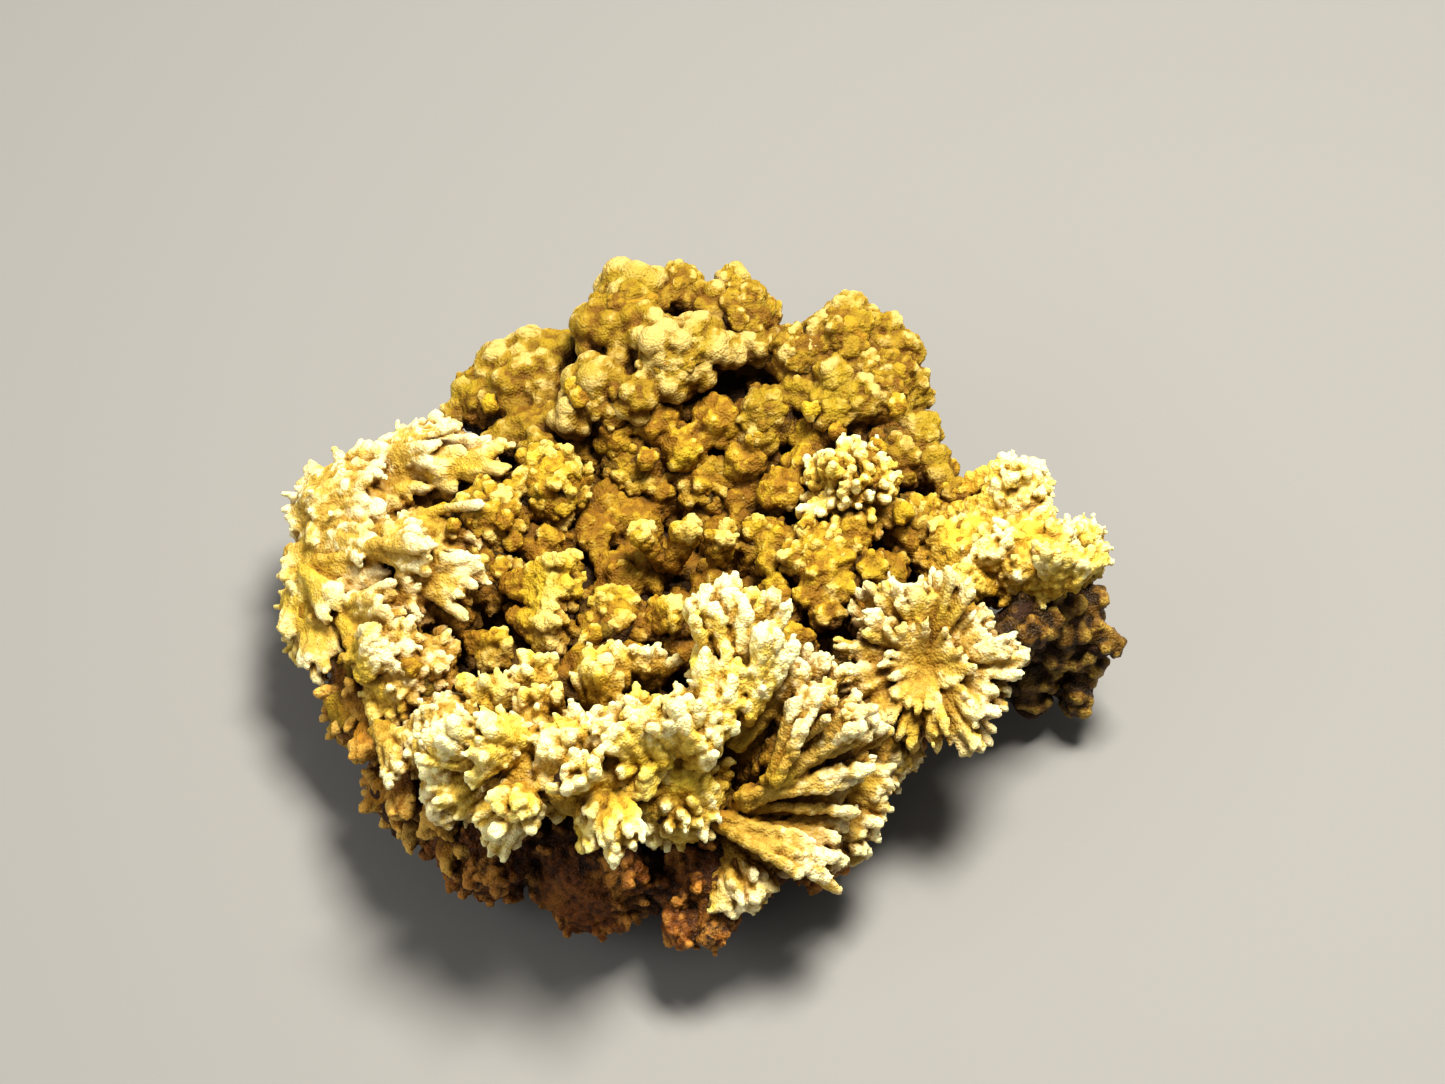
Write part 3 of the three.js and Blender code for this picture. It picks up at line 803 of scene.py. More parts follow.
FLANK_FANS = [
    [-19.6, -5, 7.4, -100, 10, 24, 20, 3.4, 0.3, 34],
    [-18.4, -8.4, 6.8, -95, 10, 24, 20, 3.6, 0.3, 34],
    [-16.6, -11, 6.8, -88, 15, 24, 20, 3.8, 0.3, 34],
    [-14.4, -12.6, 7.8, -80, 20, 24, 20, 4, 0.3, 30], [-21, -3.4, 7, -100, 20, 18, 12, 3, 0.3, 24],
    [-17.4, -10, 8.6, -85, 30, 18, 12, 3.6, 0.3, 26],
    [-19.8, -7, 8.6, -90, 35, 20, 12, 3.2, 0.3, 26],
    [-15, -11, 9.6, -95, 30, 20, 12, 3.4, 0.3, 26],
]
# Painted shade: a darker, browner copy of the pale colours, for the flank's rods that face down.
AMBER_PAINTED_SHADE = dict(root=(0.15, 0.052, 0.003), middle=(0.31, 0.130, 0.006), tip=(0.68, 0.42, 0.08),
             deep=(0.07, 0.022, 0.002), yellow=(0.38, 0.175, 0.008))
grow("left_flank_rods", FLANK_FANS, [covering(FLANK_HEADS, 150, rise=0.08, radius=0.28, seed=14)],
     growth_material("flank_painted_shade_mimetite", AMBER_PAINTED_SHADE, rough=0.45), seed=13, cores=FLANK_HEADS,
     tooth_reach=1.6, voxel=0.19, grains=0.34, stroke=1.8)


# --------------------------------------------------
# The front wall: the broken lower side, in brown limonite. Its growth is dark brown, partly
# limonite staining and partly painted shade of the lower side, with black patches that are partly
# oxide and partly painted shadow. A few stalks hang down in front of it, a pocket opens to their
# left, and short fans lean over that from above.
# --------------------------------------------------
WALL_FANS = [
    [-0.6, -16.5, 7, -92, 15, 10, 14, 4.4, 0.36, 6],
    [1.2, -16.4, 7, -86, 20, 12, 14, 4.6, 0.36, 6], [0.4, -17, 6.4, -90, 25, 20, 18, 3.6, 0.36, 7],
    [-4, -13, 10, -90, 25, 22, 16, 4.2, 0.32, 18],
    [-7.5, -13.6, 9.6, -100, 20, 22, 16, 3.6, 0.32, 18],
    [-11, -14, 8.4, -110, 20, 24, 18, 3.8, 0.32, 20],
]
# The front wall's black patches: partly oxide and partly painted shadow of the lower side.
WALL_OXIDE_AND_PAINTED_SHADOW = 0.42
grow("front_wall_rods", WALL_FANS, [covering(FRONT_WALL, 170, rise=0.06, radius=0.3, seed=16)],
     growth_material("brown_and_painted_shade_mimetite", BROWN, film=(0.02, 0.008, 0.004), rough=0.4), seed=15,
     cores=FRONT_WALL, ball=1.15, tooth_reach=1.5, voxel=0.2, film=WALL_OXIDE_AND_PAINTED_SHADOW)


# --------------------------------------------------
# The ridge: the brightest and highest growth, which runs up across the specimen from the left
# clump to a feathered peak. Its fans stand on edge and lean up and to the left.
# --------------------------------------------------
RIDGE_FANS = [
    [1.8, -6.6, 17, 95, 22, 13, 14, 6.6, 0.27, 24], [2.6, -6.2, 17, 84, 20, 13, 14, 7.2, 0.27, 24],
    [3, -6.2, 16.8, 80, 24, 13, 12, 5.8, 0.27, 20], [2.4, -7, 17, 90, 32, 24, 18, 5, 0.26, 24],
    [0.6, -7.6, 16.4, 118, 32, 24, 16, 3.4, 0.28, 22],
    [-0.8, -8.4, 16.6, 112, 35, 20, 12, 3.2, 0.3, 22],
    [-3.5, -9, 16.4, 120, 40, 24, 14, 3.4, 0.3, 22],
    [-6.5, -9.5, 16.4, 128, 45, 26, 14, 3.8, 0.3, 22],
    [-9.5, -9.5, 15.5, 165, 40, 28, 16, 4, 0.32, 22],
    [-9.5, -10.6, 14.8, -115, 35, 28, 16, 3.8, 0.32, 22],
    [-12, -10, 14.4, -160, 25, 26, 16, 3.2, 0.32, 18],
    [-5.5, -11, 14.6, -70, 40, 28, 16, 3.4, 0.32, 20],
    [-1.6, -9.6, 15.6, 200, 45, 24, 16, 3.2, 0.3, 18],
    [0.4, -9.4, 15.6, 60, 50, 18, 14, 3.6, 0.3, 20],
    [-8.6, -6.6, 13.4, 110, 35, 30, 18, 3.4, 0.3, 26],
    [-5.4, -6.4, 13.8, 95, 35, 30, 18, 3.2, 0.3, 26],
    [-11.8, -7.4, 12.6, 120, 35, 30, 18, 3.2, 0.3, 24],
    [-2.6, -5, 14, 105, 35, 30, 18, 3, 0.3, 24],
]
PALE = dict(root=(0.47, 0.285, 0.018), middle=(0.74, 0.54, 0.085), tip=(0.93, 0.86, 0.45),
            deep=(0.32, 0.155, 0.006), yellow=(0.74, 0.56, 0.045))
PALE_FINISH = growth_material("pale_mimetite", PALE)
grow("ridge_fans", RIDGE_FANS,
     [covering(RIDGE[:3] + RIDGE[4:], 170, rise=0.06, radius=0.28, seed=18, flow=0.7),
      covering(RIDGE[3:4], 90, rise=-0.1, radius=0.26, seed=19)],
     PALE_FINISH, seed=17, cores=RIDGE, copies=2, tooth_count=4, tooth_reach=1.7, scatter=0.3,
     voxel=0.175, grains=0.36, stroke=1.6)


# --------------------------------------------------
# The sheaf: long thin rods side by side that leave the foot of the ridge and spread like a
# hand to the right, with dark grooves between them.
# --------------------------------------------------
SHEAF_FANS = [
    [3.2, -9, 14.4, 64, 8, 8, 10, 6.2, 0.28, 11], [4.4, -9.6, 13.6, 48, 4, 8, 10, 6, 0.28, 11],
    [4.6, -10.2, 13, 33, 0, 9, 12, 6.6, 0.28, 12], [4, -11, 12.4, 19, -6, 8, 12, 7.4, 0.28, 12],
    [3, -11.8, 12, 9, -10, 8, 12, 7.8, 0.28, 12], [2, -12.6, 11.2, -2, -12, 8, 12, 7.8, 0.28, 12],
    [3.4, -13.2, 10.4, -14, -12, 9, 12, 6.4, 0.28, 11],
    [6, -8.2, 14, 58, 10, 20, 14, 4.8, 0.24, 13], [6.4, -7.4, 15, 62, 24, 20, 16, 4.2, 0.24, 14],
    [9.6, -9.4, 10.6, 40, 0, 20, 16, 3.6, 0.27, 14],
    [9.4, -10.8, 9.6, -5, -5, 26, 20, 3.4, 0.27, 14],
    [1.4, -14.6, 8.4, -45, 20, 30, 12, 5, 0.26, 30],
    [3.4, -13.8, 8.6, -22, 15, 24, 12, 4.6, 0.26, 24], [8, -12, 8, -32, 10, 26, 16, 4, 0.27, 20],
]
grow("sheaf_rods", SHEAF_FANS, [covering(UNDER_SHEAF, 130, rise=0.0, radius=0.3, seed=20)],
     STRAW_FINISH, seed=19, cores=UNDER_SHEAF, copies=2, rings=6, tooth_count=6,
     tooth_reach=1.8, voxel=0.18, stroke=1.5)


# --------------------------------------------------
# The star: needles that leave one point of the face all round, in feathered tufts five to six
# millimetres long. Shorter tufts stand up in front of them, and others lean back to the rock.
# --------------------------------------------------
STAR_ROOT = [14.6, -3.5, 12.6]
STAR_TUFTS = 17
STAR_TUFT_RODS = 14
STAR_RADIUS = 0.22
STAR_LENGTH = 5.5
tuft = np.arange(STAR_TUFTS)
star_angles = 360 * tuft / STAR_TUFTS + 6 * np.sin(5.0 * tuft)
star_lengths = STAR_LENGTH + 0.7 * np.sin(2.3 * tuft + 1)
star_fans = [[*STAR_ROOT, angle, 6 + 9 * (k % 2), 8, 6, length, STAR_RADIUS, STAR_TUFT_RODS]
             for k, angle, length in zip(tuft, star_angles, star_lengths)]
star_fans += [[*STAR_ROOT, angle + 12, 26, 14, 8, length * 0.6, STAR_RADIUS, 6]
              for angle, length in zip(star_angles[::2], star_lengths)]
star_fans += [[*STAR_ROOT, angle + 8, -16, 14, 8, length * 0.95, STAR_RADIUS, 8]
              for angle, length in zip(star_angles, star_lengths)]
grow("star_needles", star_fans, [], STRAW_FINISH, seed=29, sides=5, rings=5, grain=0.12,
     root_share=0.5, tooth_count=6, tooth_reach=1.9, scatter=0.1, voxel=0.155, grains=0.2,
     stroke=2.4)


# --------------------------------------------------
# The right lobe: a pale crest of short fans, and a wedge of longer rods behind it. A pale head
# of the same growth stands apart, in the right wall of the hollow.
# --------------------------------------------------
PALE_HEAD = [10.2, 7.2, 13.4, 3]
LOBE_FANS = [
    [23, 2.4, 12.6, 110, 35, 26, 14, 3.6, 0.3, 22], [20, 2, 12.6, 130, 40, 26, 14, 3.2, 0.3, 18],
    [24, 2.6, 12, 80, 30, 26, 16, 2.4, 0.3, 18], [18.5, 1.4, 12, 170, 40, 26, 14, 3, 0.3, 16],
    [18.3, 3.6, 11.4, 44, 12, 12, 12, 6.4, 0.3, 24], [17, 6.2, 11.6, 22, 10, 10, 12, 6.4, 0.3, 20],
]
grow("right_lobe_fans", LOBE_FANS,
     [covering(RIGHT_LOBE, 150, rise=0.02, radius=0.29, seed=22, clump=0.4),
      covering([PALE_HEAD], 190, rise=0.08, radius=0.27, seed=59, clump=0.4)],
     PALE_FINISH, seed=21, cores=RIGHT_LOBE, copies=2, ball=1.15, tooth_reach=1.5)


# --------------------------------------------------
# The knobs: where mimetite grew as smooth balls, each is a bunch of rounded lobes. They make
# the rear cluster, the outcrop beside it, the crest at the rear right and the wall of the
# hollow, and under the right lobe a bunch that hangs free, black with oxide.
# --------------------------------------------------
LOBE_STANDS = 0.72               # middle of a lobe from the middle of its knob, over the radius
BARE_BALL = 0.66                 # the ball between the lobes, over the radius
# Painted light and shade on the knobs: the tip colour on the top of each lobe, the root colour in
# the valleys between lobes.
LOBE_RISE = 0.45                 # from that ball to the top of a lobe, where the tip colour is
KNOB_CORE = 0.8                  # of a head's radius that is filled under its knobs
KNOB_SEAT = 0.78                 # where the middles of the knobs round a head are
KNOB_CLEAR = 0.2                 # and how far above the ground they stay
KNOB_SPREAD = 0.2                # how far they and the lobes stray from even ways
LOBE_SPREAD = 0.16
LOBE_STAND_SPAN = (0.85, 1.1)
PEBBLE_SPAN = (0.6, 1.3)
BARE_FROM = 0.95                 # of a head's radius, where rock counts as bare
LEAST_RISE = -0.3                # of the rock's normal along z, below which nothing grows
LEAST_HEIGHT = 0.7


def knobs(name, places, material, seed, lobes=22, sides=26, rings=18, film=0.3, voxel=0.2,
          grains=0.34, lobe_radius=0.36, cores=()):
    """Knobs at places given as across, up, height and radius. From the middle of a knob, each
    way goes out to the furthest of its lobes, which are balls on even ways of uneven size, or
    to the bare ball between them."""
    rng = np.random.default_rng(seed)
    ways, grid_faces = ball_grid(sides, rings)
    shapes = []
    for centre, radius in zip(*laid_out(places)):
        lobe_ways = unit(even_directions(lobes) + rng.normal(0, LOBE_SPREAD, (lobes, 3)))
        lobe_at = lobe_ways * LOBE_STANDS * rng.uniform(*LOBE_STAND_SPAN, (lobes, 1))
        lobe_size = lobe_radius * rng.uniform(*THICK, lobes)
        along = ways @ lobe_at.T
        inside = lobe_size ** 2 - (lobe_at ** 2).sum(axis=1) + along ** 2
        hit = np.where(inside > 0, along + np.sqrt(np.maximum(inside, 0)), 0)
        reach = np.maximum(hit.max(axis=1), BARE_BALL)
        # The tip mark runs from the bare ball up to the lobe tops: painted shade between the
        # lobes, painted light on their tops.
        shapes.append((grid_faces, centre + ways * (reach * radius)[:, None],
                       (reach - BARE_BALL) / LOBE_RISE))
    faces, points, tip = joined(shapes)
    shapes = [(faces, points, tip, np.repeat(rng.uniform(0, 1, len(places)), len(ways)))]
    if len(cores):
        points, faces = head_balls(cores, KNOB_CORE)
        shapes.append((faces, points, np.zeros(len(points)), np.full(len(points), CORE_TONE)))
    faces, points, tip, tone = joined(shapes)
    crust(name, points, faces, dict(tip=tip, tone=tone), material, seed, voxel, grains, film)


def as_places(middle, radius):
    """Middles as x, y, z and radii, as rows of across, up, height and radius."""
    up = (middle[:, 1] - MOVE_BACK) * np.sin(FACE_ANGLE) + middle[:, 2] * np.cos(FACE_ANGLE)
    return np.stack([middle[:, 0], up, middle[:, 2], radius], axis=1).tolist()


def knobs_round(heads, count, size, seed):
    """Places for smaller knobs all round heads, evenly spread, with their middles a little
    under the surface of the head."""
    rng = np.random.default_rng(seed)
    ways = even_directions(count)[None] + rng.normal(0, KNOB_SPREAD, (len(heads), count, 3))
    middle, radii = laid_out(heads)
    middle = middle[:, None] + unit(ways) * (radii * KNOB_SEAT)[:, None, None]
    middle = middle.reshape(-1, 3)
    radius = size * rng.uniform(*THICK, len(middle))
    above = middle[:, 2] > radius + KNOB_CLEAR
    return as_places(middle[above], radius[above])


def bare_rock(low, high, count, rng):
    """Points of the rock, drawn inside a box given by two corners, where no head is."""
    inside = ((rock_points > low) & (rock_points < high)).all(axis=1)
    inside &= (rock_normals[:, 2] > LEAST_RISE) & (rock_points[:, 2] > LEAST_HEIGHT)
    inside &= (head_distance(rock_points) > BARE_FROM).all(axis=1)
    return rng.choice(np.flatnonzero(inside), count, replace=False)


def pebbles(low, high, count, size, seed):
    """Places for small knobs on the bare rock in a box, up to one radius above it."""
    rng = np.random.default_rng(seed)
    chosen = bare_rock(low, high, count, rng)
    radius = size * rng.uniform(*PEBBLE_SPAN, count)
    above = 0.5 * radius * rng.uniform(0, 2, count)
    return as_places(rock_points[chosen] + rock_normals[chosen] * above[:, None], radius)


DUST = (0.24, 0.125, 0.045)
OLIVE = dict(root=(0.18, 0.083, 0.004), middle=(0.31, 0.193, 0.009), tip=(0.57, 0.43, 0.13),
             deep=(0.13, 0.052, 0.003), yellow=(0.37, 0.255, 0.010))
OLIVE_FINISH = growth_material("olive_mimetite", OLIVE, film=DUST, film_size=0.3)
CLUSTER_KNOBS = [
    [-3.8, 20, 15.4, 2.5], [-4.4, 15.8, 14.2, 1.7], [-5.6, 17.8, 15.2, 2.1], [-1.8, 16.6, 16.2, 2],
    [0.6, 17, 15.8, 1.8], [-0.6, 21, 15.6, 1.2], [2.7, 21.1, 15.2, 1.2], [1.2, 19.4, 15.6, 1.6],
    [3.6, 18.8, 15.2, 1.7], [4.4, 16.8, 14.6, 1.4], [-5.8, 14.2, 14.2, 2.1],
    [-3.4, 13.4, 14.6, 1.6], [-7.4, 12.2, 12.8, 1.6], [-1.2, 14.4, 15, 1.4], [-3.2, 18, 16.4, 1.6],
    [0.4, 15, 14.8, 1.3], [2.4, 16.4, 15.2, 1.3],
]
knobs("cluster_knobs", CLUSTER_KNOBS, OLIVE_FINISH, seed=33, lobes=16, sides=40, rings=28,
      voxel=0.18, grains=0.14, lobe_radius=0.42)
rear_places = (knobs_round(REAR_CLUSTER, 26, size=0.72, seed=30)
               + knobs_round(REAR_RIGHT, 26, size=0.72, seed=31)
               + knobs_round(OUTCROP[1:], 24, size=0.68, seed=32))
knobs("rear_knobs", rear_places,
      growth_material("rear_mimetite", OLIVE, film=DUST, film_size=0.35), seed=34, lobes=9,
      sides=16, rings=11, cores=REAR_CLUSTER + REAR_RIGHT + OUTCROP)
OUTCROP_KNOBS = [
    [-12.6, 15.4, 10.8, 2], [-10.6, 16, 11.2, 2.2], [-8.9, 16.2, 11.2, 1.9],
    [-14.6, 13.6, 10, 1.3], [-11.6, 14.6, 11.4, 1.9], [-9.8, 15, 11.6, 1.8],
    [-13.2, 13.2, 10.6, 1.2], [-11.8, 13, 10.8, 1.2], [-12.6, 14.4, 10.6, 1.1],
    [-15.4, 12.4, 9.4, 1.1], [-9.4, 13.2, 11, 1.4], [-8.8, 11.8, 11.4, 1.4],
    [-10.6, 11.4, 11, 1.6], [-12.2, 10.6, 10.4, 1.5], [-9.8, 10, 11.6, 1.4],
]
knobs("outcrop_knobs", OUTCROP_KNOBS, growth_material("loaf_mimetite", OLIVE), seed=35,
      lobes=26, grains=0.12, lobe_radius=0.33)
CREST_KNOBS = [
    [10.2, 18.8, 15.6, 1.6], [12.1, 17.5, 15, 1.7], [13.6, 16.2, 14.4, 1.6], [8.6, 17.4, 15, 1.6],
    [6.8, 16, 15, 1.5], [9.2, 14.6, 15, 1.6], [11, 13.2, 14.6, 1.5], [7, 13.6, 14, 1.4],
    [9.2, 12.2, 14, 1.4], [12.8, 12.8, 13.6, 1.6], [5, 12.6, 13.6, 1.5], [14.8, 11, 12.4, 1.6],
    [15.6, 8.8, 11.8, 1.5], [13.4, 9.2, 12.8, 1.7], [4.6, 10.8, 12.6, 1.3],
    [11.4, 15.4, 14.8, 1.4], [14.4, 14, 13.4, 1.4], [17, 7, 11.6, 1.3], [18, 5.4, 11.8, 1.2],
]
knobs("crest_knobs", CREST_KNOBS, OLIVE_FINISH, seed=37)
HOLLOW_KNOBS = [
    [4.2, 4.6, 12, 1.1], [5.6, 4.2, 12, 1.1], [5, 2.8, 12, 1], [6.6, 3, 12.6, 1.2],
    [7.6, 4.4, 13, 1.2], [8, 2.2, 12.8, 1.3], [9.4, 3, 12.8, 1.3], [9.6, 1, 12, 1.3],
    [7.6, 0.6, 12, 1.2], [8.6, -0.6, 11.6, 1.2], [5.4, 1.2, 11.4, 1], [10.6, 4.6, 13.2, 1.3],
    [11.4, 2.4, 12.4, 1.2],
]
HONEY = dict(root=(0.27, 0.130, 0.006), middle=(0.46, 0.295, 0.014), tip=(0.76, 0.60, 0.17),
             deep=(0.17, 0.072, 0.003), yellow=(0.54, 0.38, 0.015))
HOLLOW_FINISH = growth_material("hollow_mimetite", HONEY, film=DUST, film_size=0.35)
knobs("hollow_knobs", HOLLOW_KNOBS + knobs_round(HOLLOW, 24, size=0.62, seed=43), HOLLOW_FINISH,
      seed=39, lobes=12, sides=16, rings=11, cores=HOLLOW)
# Small heads on the floor of the hollow, which carry knobs and no rods.
BUNCHES = [[-1.8, -1.2, 11.6, 1.7], [-6.4, 4.6, 9.6, 1.9], [-9.4, 3.6, 10.4, 1.8],
           [-3.4, 5.4, 9, 1.8], [3.2, 6.4, 9, 1.8], [5.4, 8.4, 10, 1.8], [-7.2, 10.4, 10, 1.8],
           [-1.4, 11, 10.4, 1.7], [-8.6, -2.4, 9.8, 1.8], [-10.8, -3.6, 9.8, 1.6],
           [-4.4, 1.6, 9.4, 1.7], [1.6, 1, 9.8, 1.5], [11.4, -0.6, 10.6, 1.7],
           [5.6, -0.4, 10.8, 1.5], [-15, -1.2, 10, 1.7], [8, 10.6, 12, 1.8], [2, 4.2, 8.6, 1.5],
           [-15.2, 4.8, 11, 1.8], [-2.2, 11.8, 12.6, 1.7], [1.8, 11.8, 12.8, 1.7],
           [-4.8, 11, 12, 1.5], [4.4, 10.8, 12.4, 1.5], [-0.4, 10, 12, 1.5], [7.4, 8.8, 12, 1.4],
           [-9.2, -4.8, 11.6, 1.8], [-6.4, -4.2, 11.8, 1.8], [-3.6, -3.8, 12, 1.7],
           [-11.8, -5.6, 11, 1.5], [0, -2.6, 11.6, 1.6], [-2.6, 2.2, 9.6, 1.4],
           [6.6, -2.6, 11.8, 1.5], [12.6, 2, 11.2, 1.4], [5.8, 7.2, 12.2, 1.4],
           [3.6, 9.2, 11.4, 1.4], [-5.2, 6.6, 9.6, 1.4], [-1.6, 6.6, 8.8, 1.5]]
knobs("hollow_floor", pebbles([-19, -12, 3], [19, 17, 15], 800, size=0.7, seed=44)
      + knobs_round(BUNCHES, 20, size=0.6, seed=48), HOLLOW_FINISH, seed=45, lobes=8, sides=12,
      rings=8, voxel=0.23, cores=BUNCHES)
HANGING_KNOBS = [
    [23.6, 0.3, 10.4, 1.4], [25.3, -1.2, 8.6, 1.3], [26.4, -2.2, 8, 1], [27.1, -2.6, 7.6, 0.8],
    [24, -1.8, 8.6, 1.3], [22.6, -0.8, 9.4, 1.3], [23.2, -3, 7.2, 1.2], [24.6, -3.2, 6.6, 1.2],
    [22, -2.4, 8, 1.2], [21.6, -4.4, 5.6, 1.2], [22.8, -4.6, 5, 1.1], [21.4, -5.6, 3.8, 1.2],
    [22.4, -6.2, 3.2, 1], [24.8, -5.2, 4.2, 1.2], [24.9, -6.2, 3.2, 1.1], [25.8, -3.6, 5.8, 1.1],
    [25.4, 0.4, 9.6, 1.2], [21.4, -0.6, 10, 1.2], [20.8, -0.2, 11.6, 1.2], [22.2, 0.4, 11.2, 1.2],
    [20, -1.8, 11, 1.2], [21.4, -1.6, 11.6, 1.1], [22.6, -1, 10.8, 1.1], [20.6, -2.8, 9.8, 1.1],
]
DARK = dict(root=(0.04, 0.018, 0.003), middle=(0.14, 0.065, 0.007), tip=(0.36, 0.225, 0.035),
            deep=(0.012, 0.006, 0.003), yellow=(0.22, 0.125, 0.012))
knobs("hanging_knobs", HANGING_KNOBS,
      growth_material("oxide_coated", DARK, film=(0.02, 0.012, 0.006), rough=0.36), seed=41,
      lobes=10, film=0.34, grains=0.16, lobe_radius=0.42)


# --------------------------------------------------
# The hollow: short stalks and bunches of honey-coloured rods on its floor and its walls. The
# bare rock of the front wall carries a crust of the same short rods, in a brown that is partly
# limonite staining and partly painted shade of the lower side.
# --------------------------------------------------
CARPET_FLOW = 0.6
CARPET_CLUMP = 0.4
CARPET_DEPTH = 0.3               # how deep in the rock its rods are rooted
CARPET_SPREAD = 0.15
CARPET_LENGTHS = (0.7, 1.25)

HOLLOW_FANS = [
    [-11.5, 1.4, 12.4, 0, 30, 26, 14, 5, 0.32, 30],
    [-11, -0.6, 12, -25, 30, 22, 14, 4.4, 0.32, 22], [-14, -2, 11, -20, 35, 26, 14, 3.4, 0.32, 20],
    [-1.6, 2.6, 11, 120, 35, 6, 6, 3.8, 0.42, 5], [-1.2, 2.6, 11, 70, 35, 6, 6, 3.8, 0.42, 5],
    [2, 2.4, 11, 85, 40, 10, 10, 3.4, 0.42, 5], [-2, -1, 12.6, 20, 40, 30, 20, 2.6, 0.36, 17],
]
grow("hollow_growth", HOLLOW_FANS, [covering(HOLLOW, 90, rise=0.02, radius=0.34, seed=24)],
     HOLLOW_FINISH, seed=23, ball=1.25, tooth_count=1, tooth_reach=1.3, voxel=0.2)


def carpet(low, high, count, length, radius, seed):
    """Rods that stand on the bare rock in a box, and lean and grow together by smooth noise.
    Returns what covering() does."""
    rng = np.random.default_rng(seed)
    chosen = bare_rock(low, high, count, rng)
    feet = rock_points[chosen]
    drift = CARPET_FLOW * wave_ways(feet, FLOW_WAVE, seed + 100)
    ways = unit(rock_normals[chosen] + drift + rng.normal(0, CARPET_SPREAD, (count, 3)))
    lengths = length * (1 + CARPET_CLUMP * waves(feet, CLUMP_WAVE, seed + 200))
    lengths = lengths * rng.uniform(*CARPET_LENGTHS, count)
    thick = radius * rng.uniform(*THICK, count)
    return feet - ways * CARPET_DEPTH, ways, lengths, thick, rng.normal(size=(count, 3))


grow("wall_crust", [],
     [carpet([-16, -20, 1], [18, -7, 10], 260, length=1.3, radius=0.4, seed=47)],
     growth_material("wall_brown_and_painted_shade_mimetite", BROWN, film=(0.015, 0.008, 0.005), rough=0.42), seed=46,
     voxel=0.2, film=WALL_OXIDE_AND_PAINTED_SHADOW)


# --------------------------------------------------
# How open each point lies, which gives the painted shade between the crystals and the painted
# light on what stands open.
# Faces that no way leads to, inside the growth, are left out, and so are loose crumbs.
# --------------------------------------------------
OPEN_WAYS = 90
OPEN_CELL = 0.3
OPEN_SLACK = 0.4
HIDDEN_SLACK = 0.5
SKY_FROM = -0.35                 # ways lower than this are not lit
SMALLEST_ISLAND = 30             # faces


def openness(points):
    """The share of the ways of the upper and side sky from which a point is seen, and whether
    it is seen, or nearly, from any way at all. For each way, the points are sorted into square
    cells across it, and a point is seen where it lies within a slack of the furthest point of
    its cell."""
    seen, any_way, weight = np.zeros(len(points)), np.zeros(len(points), bool), 0
    for way in even_directions(OPEN_WAYS):
        one, two = crossways(way[None])
        square = np.floor(np.stack([points @ one[0], points @ two[0]], 1) / OPEN_CELL).astype(int)
        square -= square.min(axis=0)
        key = square[:, 0] * (square[:, 1].max() + 1) + square[:, 1]
        far = points @ way
        furthest = np.full(key.max() + 1, -np.inf)
        np.maximum.at(furthest, key, far)
        depth = furthest[key] - far
        any_way |= depth < HIDDEN_SLACK
        if way[2] > SKY_FROM:
            seen += depth < OPEN_SLACK
            weight += 1
    return seen / weight, any_way


def without_crumbs(faces, count):
    """Faces without the islands that are too small. Each point takes the lowest number of its
    faces' points, and then that point's own number, until nothing changes."""
    island = np.arange(count)
    while True:
        lowest = island[faces].min(axis=1)
        merged = island.copy()
        np.minimum.at(merged, faces.ravel(), np.repeat(lowest, 3))
        merged = merged[merged]
        if (merged == island).all():
            break
        island = merged
    of_face = island[faces[:, 0]]
    return faces[np.bincount(of_face, minlength=count)[of_face] >= SMALLEST_ISLAND]


def fill_mesh(mesh, points, faces, marks):
    """Puts a piece's triangles, given in millimetres, in its mesh, with its marks."""
    put_triangles(mesh, points / 1000, faces)
    mesh.polygons.foreach_set("use_smooth", np.ones(len(faces), bool))
    for mark, values in marks.items():
        layer = mesh.attributes.new(mark, "FLOAT", "POINT")
        layer.data.foreach_set("value", np.asarray(values, np.float32))


opened, seen = openness(np.concatenate([points for _, points, _, _ in GROWN]))
first = 0
for mesh, points, faces, marks in GROWN:
    here = slice(first, first + len(points))
    first += len(points)
    faces = without_crumbs(faces[seen[here][faces].any(axis=1)], len(points))
    used = np.zeros(len(points), bool)
    used[faces] = True
    marks = {mark: values[used] for mark, values in dict(marks, open=opened[here]).items()}
    fill_mesh(mesh, points[used], (np.cumsum(used) - 1)[faces], marks)


# --------------------------------------------------
# The floor, the light and the camera: a grey table, soft studio lights and a macro lens.
# --------------------------------------------------
TABLE_SIZE = 1.2                 # metres
TABLE_GREY = (0.2, 0.2, 0.2)
TABLE_ROUGH = 0.7
ROOM_COLOUR = (1.0, 0.97, 0.9)
ROOM_LIGHT = 0.2
LENS = 100.0
SENSOR = 36.0
PIXELS_A_MM = 15.7               # at the middle of the display face
FRAME_WIDTH = 1445               # pixels
AIM_ACROSS = 2.07                # the place on the display face that is aimed at
AIM_UP = 4.01
AIM_OUT = 11.0

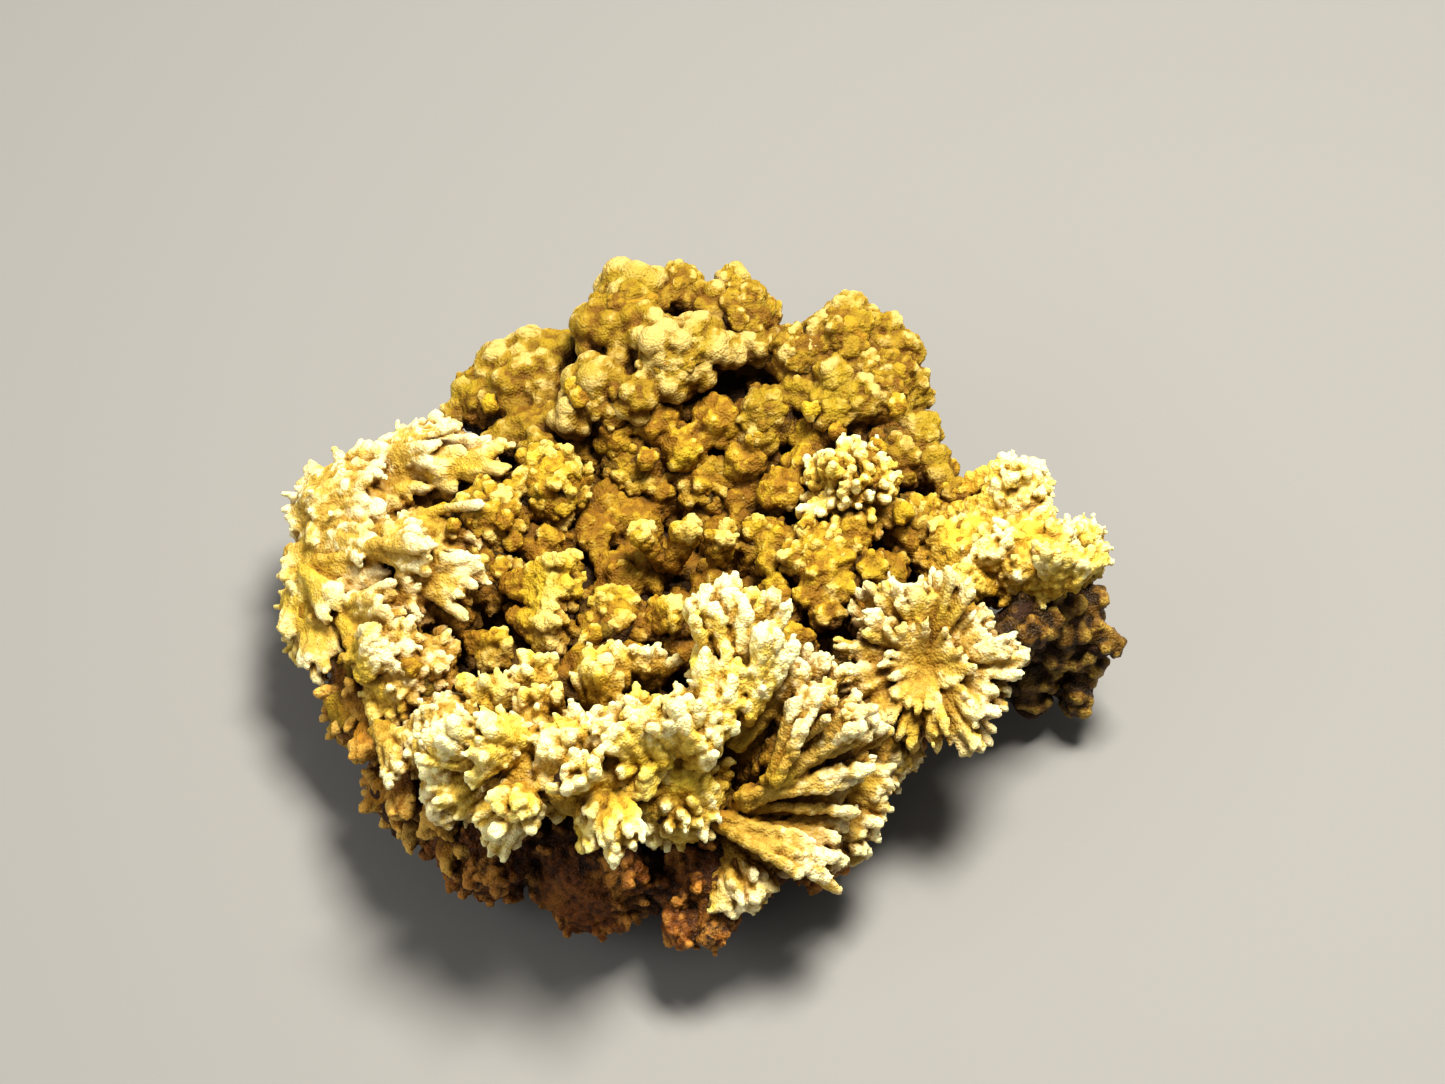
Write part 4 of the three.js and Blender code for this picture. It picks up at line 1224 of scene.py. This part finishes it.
table_mesh = bpy.data.meshes.new("table")
steps = np.linspace(-TABLE_SIZE / 2, TABLE_SIZE / 2, 3)
gx, gy = np.meshgrid(steps, steps)
grid = np.stack([gx.ravel(), gy.ravel(), np.zeros(gx.size)], 1)
table_mesh.from_pydata(grid.tolist(), [], [(a, a + 1, a + 4, a + 3) for a in (0, 1, 3, 4)])
table_finish = bpy.data.materials.new("table_top")
table_finish.use_nodes = True
tree = table_finish.node_tree
set_inputs(tree, tree.nodes["Principled BSDF"],
           {"Base Color": TABLE_GREY, "Roughness": TABLE_ROUGH})
table_mesh.materials.append(table_finish)
table = new_object("table", table_mesh)


def look_along(thing, place, way):
    """Puts a light or a camera at a place in metres and turns it to look along a way."""
    thing.location = place
    thing.rotation_mode = "QUATERNION"
    thing.rotation_quaternion = Vector(way).to_track_quat("-Z", "Y")


def soft_light(name, place, size, watts, colour):
    """A square area light at a place in metres, turned to the specimen."""
    data = bpy.data.lights.new(name, "AREA")
    data.size = size
    data.energy = watts
    data.color = colour
    look_along(new_object(name, data), place, Vector((0, 0, 0.01)) - Vector(place))


soft_light("key", (0.06, 0.05, 0.29), 0.09, 2.35, (1.0, 0.94, 0.82))
soft_light("fill", (-0.28, -0.10, 0.20), 0.25, 0.55, (1.0, 0.96, 0.90))
world = bpy.data.worlds.new("room")
world.use_nodes = True
tree = world.node_tree
set_inputs(tree, tree.nodes["Background"], {"Color": ROOM_COLOUR, "Strength": ROOM_LIGHT})
bpy.context.scene.world = world
bpy.context.scene.view_settings.view_transform = "Standard"

lens = bpy.data.cameras.new("macro_lens")
lens.lens = LENS
lens.sensor_width = SENSOR
lens.clip_start = 0.01
camera = new_object("macro_camera", lens)
aim = ACROSS * AIM_ACROSS + UP_FACE * AIM_UP + np.array([0, MOVE_BACK, 0]) + TO_EYE * AIM_OUT
distance = FRAME_WIDTH / PIXELS_A_MM * LENS / SENSOR
look_along(camera, (aim + TO_EYE * distance) / 1000, -TO_EYE)
bpy.context.scene.camera = camera
